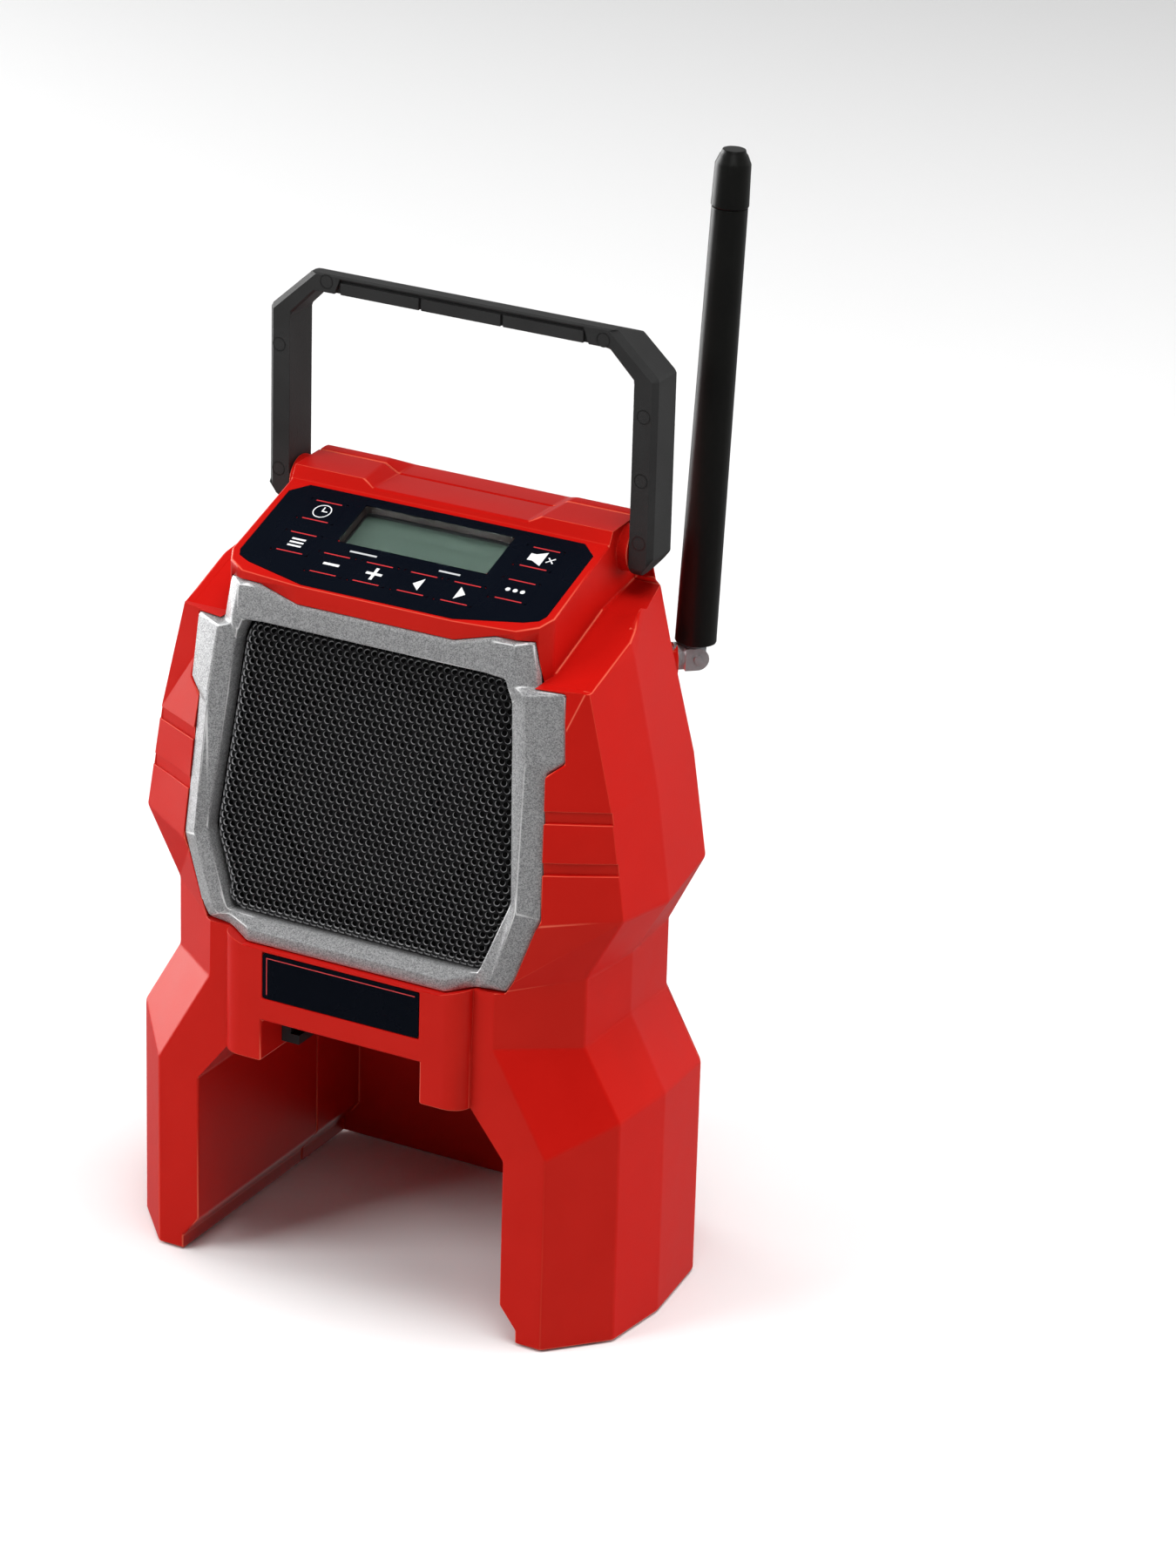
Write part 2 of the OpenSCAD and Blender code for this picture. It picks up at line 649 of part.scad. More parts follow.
module control_overlay() {
    color("#0b1018") on_panel() translate([0, 0, -overlay_t]) linear_extrude(overlay_t) difference() {
        polygon(inset(overlay_outline, 0.1));
        translate([0, window_y]) square([window_w, window_h], center = true);
        for (p = key_places) translate(p)
            square([key_w + 2 * key_gap, key_h + 2 * key_gap], center = true);
    }
}

module display_window() {
    color("#9fb0b8", 0.5) on_panel() translate([0, window_y, -1.4])
        rounded_plate(window_w - 0.2, window_h - 0.2, 1.4, 1.5);
}

lcd_w = window_w + 4;
lcd_h = window_h + 3.4;
lcd_top = 4.6;
lcd_t = 2.2;
module lcd_glass() {
    color("#7d9183") on_panel() translate([-lcd_w / 2, window_y - lcd_h / 2, -lcd_top - lcd_t])
        cube([lcd_w, lcd_h, lcd_t]);
}

// The frame that holds the display glass over its light panel on the control board
module lcd_holder() {
    color("#d8dadc") on_panel() translate([0, window_y, -board_top]) difference() {
        translate([-lcd_w / 2 - 1.4, -lcd_h / 2 - 0.9, 0])
            cube([lcd_w + 2.8, lcd_h + 1.8, board_top - lcd_top + 0.8]);
        translate([-lcd_w / 2, -lcd_h / 2, -1]) cube([lcd_w, lcd_h, board_top - lcd_top + 1]);
        translate([-window_w / 2 - 0.5, -window_h / 2 - 0.5, 0]) cube([window_w + 1, window_h + 1, 20]);
    }
}

module backlight_panel() {
    color("#f2f4ee") on_panel()
        translate([-lcd_w / 2 + 0.3, window_y - lcd_h / 2 + 0.3, -board_top])
            cube([lcd_w - 0.6, lcd_h - 0.6, board_top - lcd_top - lcd_t]);
}

// A key: its printed top, the block that passes through the panel, a flange that keeps it in,
// and the stem that meets its switch
key_stem_d = 4;
switch_top = board_top - 3.7;
module key(place) {
    color("#0b1018") on_panel() translate([place[0], place[1], 0]) {
        translate([0, 0, -panel_skin - 0.1]) rounded_plate(key_w, key_h, panel_skin + 0.1, 0.9);
        translate([0, 0, -panel_skin - 0.1 - key_flange_t])
            rounded_plate(key_w + 1.2, key_h + 1.2, key_flange_t, 0.9);
        translate([0, 0, -switch_top + key_travel + 0.05])
            cylinder(d = key_stem_d, h = switch_top - key_travel - panel_skin - 0.2);
    }
}

module key_clock() { key(key_places[0]); }
module key_channel() { key(key_places[1]); }
module key_volume_down() { key(key_places[2]); }
module key_volume_up() { key(key_places[3]); }
module key_seek_back() { key(key_places[4]); }
module key_seek_forward() { key(key_places[5]); }
module key_mute() { key(key_places[6]); }
module key_mode() { key(key_places[7]); }

module key_switches() {
    color("#3a3d42") on_panel() for (p = key_places) translate([p[0], p[1], -board_top]) {
        translate([-2.25, -2.25, 0]) cube([4.5, 4.5, 2.4]);
        translate([0, 0, 2.4]) cylinder(d = 2.6, h = board_top - switch_top - 2.4);
    }
}

module control_board() {
    color(copper_green) on_panel() difference() {
        translate([-control_board_w / 2, control_board_y - control_board_h / 2, -board_top - board_t])
            cube([control_board_w, control_board_h, board_t]);
        at_posts() translate([0, 0, -20]) cylinder(d = 2.4, h = 20);
    }
}

module control_board_screws() {
    color(bright_metal) on_panel() at_posts() {
        translate([0, 0, -board_top - board_t - 1.5]) cylinder(d = 4.4, h = 1.5);
        translate([0, 0, -board_top - board_t - 0.1]) cylinder(d = 2, h = board_t + 4.8);
    }
}

// ---- Handle --------------------------------------------------------------------------------------

handle_hw = handle_w / 2;
leg_end_r = 7.5;
corner_drop = 12.7;
corner_in = 14;
bar_t = 5.6;
grip_hw = 42.5;

handle_half = [[handle_hw, -1], [handle_hw, handle_rise - corner_drop],
               [handle_hw - corner_in, handle_rise], [0, handle_rise]];
handle_inner = [[0, handle_rise - bar_t], [handle_hw - corner_in - 2, handle_rise - bar_t],
                [leg_in_x, handle_rise - corner_drop - 1.6], [leg_in_x, -leg_end_r],
                [handle_hw - 5, -leg_end_r]];

module handle_side() {
    translate([-handle_d / 2, 0]) square([handle_d, far]);
    intersection() {
        translate([-handle_d / 2, -far]) square([handle_d, 2 * far]);
        circle(r = leg_end_r);
    }
}

module handle() {
    stub_len = leg_in_x - (block_hw - 8) + 0.5;
    color(black_plastic) {
        difference() {
            intersection() {
                translate([0, pivot_y, pivot_z]) along_y(-handle_d, handle_d,
                    concat(handle_half, [for (i = [2 : -1 : 0]) [-handle_half[i][0], handle_half[i][1]]],
                           [for (i = [4 : -1 : 1]) [-handle_inner[i][0], handle_inner[i][1]]],
                               handle_inner));
                translate([-far, pivot_y, pivot_z]) rotate([90, 0, 90]) linear_extrude(2 * far)
                    handle_side();
            }
            grip_recess();
            bar_back_slope();
        }
        grip_pads();
        at_pivots() translate([0, 0, leg_in_x - stub_len]) difference() {
            cylinder(d = pivot_d, h = stub_len + 1);
            translate([0, 0, -1]) cylinder(d = 2.5 + 2 * screw_clear, h = 8);
        }
    }
}

// The long recess in the front of the grip, with three raised pads in it
module grip_recess() {
    translate([0, pivot_y - handle_d / 2 - 1, pivot_z + handle_rise - bar_t + 1])
        along_y(0, 2.2, [[-grip_hw, -2], [grip_hw, -2], [grip_hw - 2, bar_t - 2.2],
            [-grip_hw + 2, bar_t - 2.2]]);
}

module grip_pads() {
    pad = (2 * grip_hw - 6) / 3;
    for (i = [-1 : 1]) translate([i * (pad + 0.8) - pad / 2, pivot_y - handle_d / 2 + 0.2,
                                  pivot_z + handle_rise - bar_t])
        cube([pad, 1.2, bar_t - 2]);
}

// The top of the grip falls away toward the back
module bar_back_slope() {
    back = pivot_y + handle_d / 2;
    top = pivot_z + handle_rise;
    along_x(-far, far, [[back - 8.5, top + eps], [back + 1, top - 3.4], [back + 1, top + 5],
        [back - 8.5, top + 5]]);
}

module handle_screws() {
    color(bright_metal) at_pivots() {
        translate([0, 0, block_hw - 8 - 0.5 - 1 - 2.2]) cylinder(d = 5, h = 2.2);
        translate([0, 0, block_hw - 8 - 0.5 - 1.1]) cylinder(d = 2.5, h = 7);
    }
}

module handle_washers() {
    color("#9a9da1") at_pivots() translate([0, 0, block_hw - 8 - 0.5 - 1]) difference() {
        cylinder(d = 9, h = 1);
        translate([0, 0, -1]) cylinder(d = 2.7, h = 3);
    }
}

// ---- Aerial --------------------------------------------------------------------------------------

aerial_x = 62.6;
aerial_y = back_y - 9.5;
aerial_z = body_h - 49;
stud_d = 6;
journal_d = 4;
tongue_t = 5;
cheek_t = 1.8;
sleeve_z = 4.5;
ferrule_top_z = 12;
cap_len = 17;

// The aerial's frame: the origin is where its two axes cross, X points away from the casing
module in_aerial() {
    translate([aerial_x, aerial_y, aerial_z]) rotate([0, 0, aerial_yaw]) children();
}
module leaning() {
    in_aerial() rotate([0, aerial_lean, 0]) children();
}
module rod_x(from_x, to_x, d, sides = 48) {
    translate([from_x, 0, 0]) rotate([0, 90, 0]) cylinder(d = d, h = to_x - from_x, $fn = sides);
}

module aerial_boss() {
    difference() {
        in_aerial() rod_x(-16, -6.7, 15);
        translate([-far, -far, -far]) cube([2 * far, far + split_y, 2 * far]);
    }
}

module aerial_mount() {
    color(bright_metal) in_aerial() {
        rod_x(-6.7, -5, 8.4);
        rod_x(-24, -6, stud_d);
        rod_x(-5.5, -4.25, journal_d);
    }
}

module aerial_nut() {
    color(bright_metal) in_aerial() difference() {
        rod_x(-18.5, -16, 11, 6);
        rod_x(-20, -15, stud_d + 0.06);
    }
}

module aerial_knuckle() {
    color(bright_metal) in_aerial() difference() {
        union() {
            rod_x(-4.95, -3.65, 8.4);
            for (s = [0, 1]) mirror([0, s, 0]) translate([-3.8, tongue_t / 2 + 0.05, -3.4])
                cube([3.8, cheek_t, 6.8]);
            for (s = [0, 1]) mirror([0, s, 0]) translate([0, tongue_t / 2 + 0.05, 0]) rotate([-90, 0, 0])
                cylinder(d = 6.8, h = cheek_t);
        }
        rod_x(-6, -4.15, journal_d + 0.1);
        translate([0, -10, 0]) rotate([-90, 0, 0]) cylinder(d = 2.4 + 2 * screw_clear, h = 20);
    }
}

module aerial_hinge_pin() {
    color(bright_metal) in_aerial() translate([0, -tongue_t / 2 - cheek_t - 0.4, 0]) rotate([-90, 0, 0])
        cylinder(d = 2.4, h = tongue_t + 2 * cheek_t + 0.8);
}

module aerial_ferrule() {
    color(bright_metal) leaning() difference() {
        union() {
            translate([0, -tongue_t / 2, 0]) rotate([-90, 0, 0]) cylinder(d = 5.6, h = tongue_t);
            translate([-2.8, -tongue_t / 2, 0]) cube([5.6, tongue_t, sleeve_z]);
            translate([0, 0, sleeve_z - 0.6]) cylinder(d = 7, h = ferrule_top_z - sleeve_z + 0.6);
        }
        translate([0, -10, 0]) rotate([-90, 0, 0]) cylinder(d = 2.4 + 2 * screw_clear, h = 20);
        translate([0, 0, ferrule_top_z - 4]) cylinder(d = 2.46, h = 6);
    }
}

module aerial_core() {
    color("#8d9094") leaning() translate([0, 0, ferrule_top_z - 4])
        cylinder(d = 2.4, h = aerial_len - cap_len - 6);
}

module aerial_sleeve() {
    color("#1c1b1b") leaning() difference() {
        translate([0, 0, sleeve_z]) cylinder(d1 = aerial_base_d, d2 = aerial_tip_d,
            h = aerial_len - cap_len);
        translate([0, 0, sleeve_z - 1]) cylinder(d = 7.06, h = ferrule_top_z - sleeve_z + 1.05);
        translate([0, 0, sleeve_z]) cylinder(d = 2.5, h = aerial_len - cap_len - 2);
    }
}

module aerial_cap() {
    cap_d = aerial_tip_d + 0.5;
    color("#1c1b1b") leaning() translate([0, 0, sleeve_z + aerial_len - cap_len]) rotate_extrude()
        polygon([[0, 0], [cap_d / 2 - 0.5, 0], [cap_d / 2, 0.5], [cap_d / 2 - 0.3, cap_len - 4.2],
                 [cap_d / 2 - 1.4, cap_len - 1.6], [cap_d / 2 - 1.8, cap_len - 1.2],
                     [cap_d / 2 - 2.2, cap_len],
                 [0, cap_len]]);
}

// ---- Speaker -------------------------------------------------------------------------------------

gasket_t = 1;
flange_t = 1.2;
basket_depth = 24;
flange_back = pocket_floor - baffle_t - gasket_t - flange_t;
cone_d = speaker_d - 22;

module speaker_gasket() {
    color("#141414") on_face() translate([0, 0, pocket_floor - baffle_t - gasket_t])
        linear_extrude(gasket_t)
        difference() {
            circle(d = speaker_d);
            circle(d = speaker_hole_d);
            around_speaker() circle(d = screw_d + 0.4);
        }
}

module speaker_basket() {
    color("#3b3d40") on_face() translate([0, 0, flange_back]) difference() {
        rotate_extrude() polygon([[speaker_hole_d / 2 - 1, flange_t], [speaker_d / 2, flange_t],
            [speaker_d / 2, 0],
                                  [speaker_hole_d / 2 - 2, 0], [magnet_d / 2 + 2, 1 - basket_depth],
                                  [magnet_d / 2 + 2, -basket_depth], [14, -basket_depth],
                                      [14, 1 - basket_depth],
                                  [magnet_d / 2, 1 - basket_depth],
                                      [speaker_hole_d / 2 - 4, flange_t - 0.6],
                                  [speaker_hole_d / 2 - 1, flange_t - 0.6]]);
        for (a = [0 : 90 : 270]) rotate(a) translate([magnet_d / 2 + 1, -10, -basket_depth + 5])
            cube([20, 20, basket_depth - 9]);
        around_speaker() translate([0, 0, -1]) cylinder(d = screw_d + 2 * screw_clear, h = 4);
    }
}

module speaker_magnet() {
    color("#55585c") on_face() translate([0, 0, flange_back - basket_depth - 16]) {
        cylinder(d = magnet_d, h = 13);
        translate([0, 0, 13]) cylinder(d = magnet_d - 4, h = 3);
    }
}

module speaker_surround() {
    inner = cone_d / 2;
    outer = speaker_hole_d / 2 - 1;
    mid = (inner + outer) / 2;
    r = (outer - inner) / 2;
    color("#1a1a1a") on_face() translate([0, 0, flange_back + flange_t]) rotate_extrude()
        polygon(concat([for (a = [0 : 15 : 180]) [mid + r * cos(a), 0.3 + (r - 0.2) * sin(a)]],
                       [for (a = [180 : -15 : 0]) [mid + (r - 0.8) * cos(a), 0.3 + (r - 1.1) * sin(a)]]));
}

coil_r = 12;
// The height of the cone's front surface at a radius
function cone_at(r) = -14.6 + (r - coil_r + 0.6) * 14.8 / (cone_d / 2 - 0.1 - coil_r + 0.6);
module speaker_cone() {
    color("#2a2b2d") on_face() translate([0, 0, flange_back + flange_t]) rotate_extrude()
        polygon([[cone_d / 2 - 0.1, 0.2], [cone_d / 2 - 0.1, -0.5], [coil_r, -15], [coil_r, -18],
            [coil_r - 0.6, -18],
                 [coil_r - 0.6, -14.6]]);
}

module speaker_dust_cap() {
    dome_r = coil_r;
    rim_z = cone_at(dome_r + 0.9) + 0.3;
    color("#202123") on_face() translate([0, 0, flange_back + flange_t]) rotate_extrude()
        polygon(concat([for (a = [0 : 10 : 90]) [(dome_r + 0.9) * cos(a), rim_z + 5 * sin(a)]],
                       [for (a = [90 : -10 : 0]) [(dome_r + 0.3) * cos(a), rim_z + 4.4 * sin(a)]]));
}

module speaker_screws() {
    color(bright_metal) on_face() around_speaker() {
        translate([0, 0, flange_back - 2]) cylinder(d = 5.2, h = 2);
        translate([0, 0, flange_back - 0.1])
            cylinder(d = screw_d, h = baffle_t + gasket_t + flange_t + 0.1);
    }
}

// ---- Main board ----------------------------------------------------------------------------------

main_w = 84;
main_h = 74;
main_z = chest_z + 12;
main_y = back_y - wall - 8;
main_posts = [[main_w / 2 - 5, main_h / 2 - 5], [main_w / 2 - 5, 5 - main_h / 2]];
module at_main_posts() {
    for (p = main_posts, s = [-1, 1]) translate([s * p[0], main_y, main_z + p[1]]) rotate([-90, 0, 0])
        children();
}

module main_board() {
    color(copper_green) difference() {
        translate([-main_w / 2, main_y - board_t, main_z - main_h / 2]) cube([main_w, board_t, main_h]);
        at_main_posts() translate([0, 0, -10]) cylinder(d = 2.9, h = 20);
    }
}

module main_board_posts() {
    at_main_posts() cylinder(d = 6.4, h = back_y - wall - main_y + 1);
}

module main_board_screws() {
    color(bright_metal) at_main_posts() {
        translate([0, 0, -board_t - 2]) cylinder(d = 4.8, h = 2);
        translate([0, 0, -board_t - 0.1]) cylinder(d = 2.5, h = board_t + 5.4);
    }
}

module tuner_shield() {
    color("#b9bcc0") translate([8, main_y - board_t - 4.5, main_z + 6]) difference() {
        cube([24, 4.5, 20]);
        translate([0.4, 0.4, 0.4]) cube([23.2, 5, 19.2]);
    }
}

module capacitors() {
    color("#20304e") for (c = [[-26, -20, 8], [-14, -20, 8], [-28, 4, 6.3], [-18, 4, 6.3]])
        translate([c[0], main_y - board_t, main_z + c[1]]) rotate([90, 0, 0])
            cylinder(d = c[2], h = 1.5 * c[2]);
}

connector_places = [[16, -26], [0, -26], [0, 26]];
module board_connectors() {
    color("#e9e7df") for (c = connector_places)
        translate([c[0] - 5, main_y - board_t - 6, main_z + c[1] - 3])
        cube([10, 6, 6]);
}

// ---- Battery dock --------------------------------------------------------------------------------

dock_hw = rail_w / 2 - 0.3;
dock_front_y = face_y + 6;
dock_back_y = bay_back_y - 0.4;
rail_low_z = rail_h - 11;
rail_slot_z = rail_low_z + 3;
module dock_screw_places() {
    for (x = [-1, 1], y = [dock_front_y + 12, dock_back_y - 32]) translate([x * 12, y, 0]) children();
}

module battery_dock() {
    color("#1e1f21") difference() {
        translate([-dock_hw, dock_front_y, rail_low_z])
            cube([2 * dock_hw, dock_back_y - dock_front_y, rail_h - 0.2 - rail_low_z]);
        along_y(-far, far, both([[dock_hw - 6, rail_low_z - 1], [dock_hw - 6, rail_slot_z],
                                 [dock_hw - 3, rail_slot_z], [dock_hw - 3, rail_h - 2.6]]));
        translate([0, 0, rail_h - 5]) dock_screw_places() cylinder(d = 2.8, h = 9);
        translate([lead_hole_x, bay_back_y - 9, rail_h - 5]) cylinder(d = 7, h = 12);
    }
}

module dock_screws() {
    color(bright_metal) translate([0, 0, rail_h - 2.6]) dock_screw_places() {
        translate([0, 0, -1.6]) cylinder(d = 4.6, h = 1.6);
        translate([0, 0, -0.1]) cylinder(d = 2.5, h = 2.4 + wall);
    }
}

lead_hole_x = 0;
terminal_y = dock_back_y - 16;
blade_xs = [-12, -6, 6, 12];
module terminal_block() {
    color("#17181a") difference() {
        translate([-dock_hw + 7, terminal_y, rail_low_z - 1])
            cube([2 * dock_hw - 14, 15, rail_h - 1.65 - rail_low_z]);
        for (x = blade_xs) translate([x - 0.5, terminal_y - 1, rail_low_z + 1]) cube([1, 8, 6]);
        translate([lead_hole_x, bay_back_y - 9, rail_low_z + 3]) cylinder(d = 7, h = 12);
    }
}

module terminal_blades() {
    color("#c58f4a") for (x = blade_xs) translate([x - 0.4, terminal_y - 9, rail_low_z + 1.2])
        cube([0.8, 15.8, 5.4]);
}

// ---- Internal leads ------------------------------------------------------------------------------

module battery_leads() {
    plug = [connector_places[0][0], main_y - board_t - 6, main_z + connector_places[0][1]];
    for (s = [-1, 1]) color(s < 0 ? "#b01818" : "#161616") lead([
        [lead_hole_x + s * 1.4, bay_back_y - 9, rail_low_z + 3],
        [lead_hole_x + s * 1.4, bay_back_y - 9, rail_h + 8],
        plug + [s * 1.4, -6, -10], plug + [s * 1.4, -5, 0], plug + [s * 1.4, 0, 0]], 2, 3);
}

module speaker_leads() {
    plug = [connector_places[1][0], main_y - board_t - 6, main_z + connector_places[1][1]];
    for (s = [-1, 1]) color(s < 0 ? "#e0e0e0" : "#161616") lead([
        [s * 1.2, face_mid_y + 33.4, face_mid_z - 31.8], [s * 1.2, face_mid_y + 35, face_mid_z - 42],
        plug + [s * 1.2, -8, -10], plug + [s * 1.2, -5, 0], plug + [s * 1.2, 0, 0]], 1.6, 3);
}

module aerial_lead() {
    stud_end = [aerial_x - 24 * cos(aerial_yaw), aerial_y - 24 * sin(aerial_yaw), aerial_z];
    color("#101010") lead([stud_end, stud_end - 7 * [cos(aerial_yaw), sin(aerial_yaw), 0],
                           [28, main_y - board_t - 10, main_z + 38],
                           [28, main_y - board_t - 2.2, main_z + 34],
                               [28, main_y - board_t - 2.2, main_z + 26]], 2, 3);
}

// A flat ribbon from under the control board down to the main board
module ribbon_cable() {
    top = [2, panel_z + 1.6];
    plug = [main_y - board_t - 6, main_z + connector_places[2][1]];
    color("#c9c5b8") along_x(-7, 7, [top, top + [0.7, 0.1], top + [2, -3], plug + [-8.4, 14],
        plug + [-4.6, 0.3], plug + [0, 0.3],
                                     plug + [0, -0.3], plug + [-5, -0.3], plug + [-9, 13.7],
                                         top + [1.3, -3.2]]);
}

front_casing();
rear_casing();
casing_screws();
rubber_feet();
speaker_bezel();
speaker_grille();
bezel_screws();
badge_plate();
control_overlay();
display_window();
lcd_glass();
lcd_holder();
backlight_panel();
key_clock();
key_channel();
key_volume_down();
key_volume_up();
key_seek_back();
key_seek_forward();
key_mute();
key_mode();
key_switches();
control_board();
control_board_screws();
handle();
handle_screws();
handle_washers();
aerial_mount();
aerial_nut();
aerial_knuckle();
aerial_hinge_pin();
aerial_ferrule();
aerial_core();
aerial_sleeve();
aerial_cap();
speaker_basket();
speaker_magnet();
speaker_cone();
speaker_surround();
speaker_dust_cap();
speaker_gasket();
speaker_screws();
main_board();
main_board_screws();
tuner_shield();
capacitors();
board_connectors();
battery_dock();
dock_screws();
terminal_block();
terminal_blades();
battery_leads();
speaker_leads();
aerial_lead();
ribbon_cable();
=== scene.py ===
import math

import bmesh
import bpy
from mathutils import Matrix, Vector


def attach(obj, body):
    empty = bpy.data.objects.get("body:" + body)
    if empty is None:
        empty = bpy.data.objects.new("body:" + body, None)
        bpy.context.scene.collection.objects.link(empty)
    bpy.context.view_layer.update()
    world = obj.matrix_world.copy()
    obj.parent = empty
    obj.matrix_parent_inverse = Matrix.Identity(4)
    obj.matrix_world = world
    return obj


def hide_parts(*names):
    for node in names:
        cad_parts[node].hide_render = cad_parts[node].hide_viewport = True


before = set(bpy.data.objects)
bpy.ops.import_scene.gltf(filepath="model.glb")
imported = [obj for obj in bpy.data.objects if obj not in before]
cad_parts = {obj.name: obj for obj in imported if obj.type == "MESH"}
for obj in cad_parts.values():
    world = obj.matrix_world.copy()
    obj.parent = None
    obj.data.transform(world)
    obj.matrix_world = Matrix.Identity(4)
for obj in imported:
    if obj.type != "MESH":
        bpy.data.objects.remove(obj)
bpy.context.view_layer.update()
scene = bpy.context.scene
MM = 0.001


# ---- Casing halves -----------------------------------------------------------------------------
# The casing is two injection-moulded halves of red ABS, with a fine spark-eroded grain and edges
# rounded to under a millimetre. Screws from the back pull the halves together. Where a face is
# small beside the rounding, its edges are rounded less, so that no face folds over itself.

def merged_copy(node, name):
    """A welded copy of a CAD node, with each flat face made one polygon again."""
    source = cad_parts[node]
    mesh = source.data.copy()
    mesh.name = name
    piece = bpy.data.objects.new(name, mesh)
    scene.collection.objects.link(piece)
    work = bmesh.new()
    work.from_mesh(mesh)
    bmesh.ops.remove_doubles(work, verts=work.verts, dist=0.003 * MM)
    bmesh.ops.dissolve_limit(work, angle_limit=math.radians(0.4), verts=work.verts, edges=work.edges)
    work.to_mesh(mesh)
    work.free()
    mesh.materials.clear()
    return piece


def apply_modifiers(piece):
    """Turns a piece with modifiers into the plain mesh that they make."""
    depsgraph = bpy.context.evaluated_depsgraph_get()
    made = bpy.data.meshes.new_from_object(piece.evaluated_get(depsgraph), depsgraph=depsgraph)
    piece.modifiers.clear()
    piece.data = made
    return piece


CREST_FROM, CREST_SPAN = 24, 50  # degrees that an edge turns by


def mark_edges(mesh):
    """Marks the crest of each rounded edge that stands out, where the materials paint a highlight."""
    work = bmesh.new()
    work.from_mesh(mesh)
    crest = work.verts.layers.float.new("crest")
    for point in work.verts:
        if not point.link_faces or any(face.material_index != 1 for face in point.link_faces):
            continue
        around = [edge.other_vert(point).co for edge in point.link_edges]
        middle = sum(around, Vector()) / len(around)
        turn = 2 * max(edge.calc_face_angle(0.0) for edge in point.link_edges)
        if (point.co - middle).dot(point.normal) > 0:
            point[crest] = max(0.0, min(1.0, (math.degrees(turn) - CREST_FROM) / CREST_SPAN))
    for face in work.faces:
        face.material_index = 0
    work.to_mesh(mesh)
    work.free()
    mesh.materials.clear()


def edge_room(work):
    """How far each edge is from the next point or edge of the faces on its two sides."""
    room = {edge: min(near.calc_length() for point in edge.verts for near in point.link_edges)
            for edge in work.edges}
    for face in work.faces:
        for corner in face.loops:
            point = corner.vert
            beside = (corner.edge, corner.link_loop_prev.edge)
            for edge in face.edges:
                if point in edge.verts:
                    continue
                start, run = edge.verts[0].co, edge.verts[1].co - edge.verts[0].co
                along = max(0.0, min(1.0, (point.co - start).dot(run) / max(run.length_squared, 1e-16)))
                gap = (point.co - start - run * along).length
                room[edge] = min(room[edge], gap)
                for near in beside:
                    if not (near.verts[0] in edge.verts or near.verts[1] in edge.verts):
                        room[near] = min(room[near], gap)
    return room


def folded_faces(mesh):
    """The faces that a rounding has folded over themselves, each as a plane and a box."""
    mesh.calc_loop_triangles()
    filled = [0.0] * len(mesh.polygons)
    for triangle in mesh.loop_triangles:
        filled[triangle.polygon_index] += triangle.area
    found = []
    for face in mesh.polygons:
        if len(face.vertices) < 5:
            continue
        ring = [mesh.vertices[index].co for index in face.vertices]
        outline = sum((a.cross(b) for a, b in zip(ring, ring[1:] + ring[:1])), Vector()).length / 2
        if filled[face.index] - outline > max(0.01 * outline, 0.05 * MM * MM):
            low = Vector([min(point[axis] for point in ring) - MM for axis in range(3)])
            high = Vector([max(point[axis] for point in ring) + MM for axis in range(3)])
            found.append((face.normal.copy(), ring[0].copy(), low, high))
    return found


def round_edges(piece, radius, segments=2, angle=8.0, smooth=40.0, share=None):
    """Rounds the edges sharper than the angle, less where the shape is small beside the radius."""
    mesh = piece.data
    work = bmesh.new()
    work.from_mesh(mesh)
    weights = work.edges.layers.float.new("bevel_weight_edge")
    room = edge_room(work)
    for edge in work.edges:
        if len(edge.link_faces) != 2 or edge.calc_face_angle(0.0) < math.radians(angle):
            continue
        middle = (edge.verts[0].co + edge.verts[1].co) / 2
        edge[weights] = min(1.0, 0.4 * room[edge] / radius) * (1.0 if share is None else share(middle))
    work.to_mesh(mesh)
    bevel = piece.modifiers.new("rounded edges", "BEVEL")
    bevel.width = radius
    bevel.segments = segments
    bevel.limit_method = "WEIGHT"
    bevel.use_clamp_overlap = False
    bevel.material = 1
    for _ in range(2):
        mesh.materials.append(None)
    # Where a face still folds, the edges on its plane are rounded less and less
    bottom = Vector([min(point.co[axis] for point in mesh.vertices) for axis in range(3)])
    top = Vector([max(point.co[axis] for point in mesh.vertices) for axis in range(3)])
    for turn in range(8):
        trial = piece.evaluated_get(bpy.context.evaluated_depsgraph_get()).data
        folded = folded_faces(trial)
        spikes = [point.co.copy() for point in trial.vertices
                  if any(not bottom[axis] - 0.01 * MM < point.co[axis] < top[axis] + 0.01 * MM
                         for axis in range(3))]
        if not folded and not spikes:
            break
        for spike in spikes:
            for edge in work.edges:
                if any((point.co - spike).length < 4 * MM for point in edge.verts):
                    edge[weights] *= 0.3
        for normal, place, low, high in folded:
            for edge in work.edges:
                if edge[weights] > 0 and all(
                        abs((point.co - place).dot(normal)) < 0.01 * MM
                        and all(low[axis] < point.co[axis] < high[axis] for axis in range(3))
                        for point in edge.verts):
                    edge[weights] *= 0.3 if turn < 5 else 0.0
        work.to_mesh(mesh)
    work.free()
    apply_modifiers(piece)
    mark_edges(piece.data)
    piece.data.polygons.foreach_set("use_smooth", [True] * len(piece.data.polygons))
    piece.data.set_sharp_from_angle(angle=math.radians(smooth))
    level = piece.modifiers.new("flat faces stay flat", "WEIGHTED_NORMAL")
    level.keep_sharp = True
    return apply_modifiers(piece)


def stands_for(piece, node, material, body="casing"):
    """The piece takes the place of a CAD node, with its material and its body."""
    piece.data.materials.clear()
    piece.data.materials.append(material)
    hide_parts(node)
    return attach(piece, body)


def new_material(name):
    """A node material with its Principled shader, and the function that adds nodes to it."""
    material = bpy.data.materials.new(name)
    material.use_nodes = True
    return material, material.node_tree, material.node_tree.nodes["Principled BSDF"]


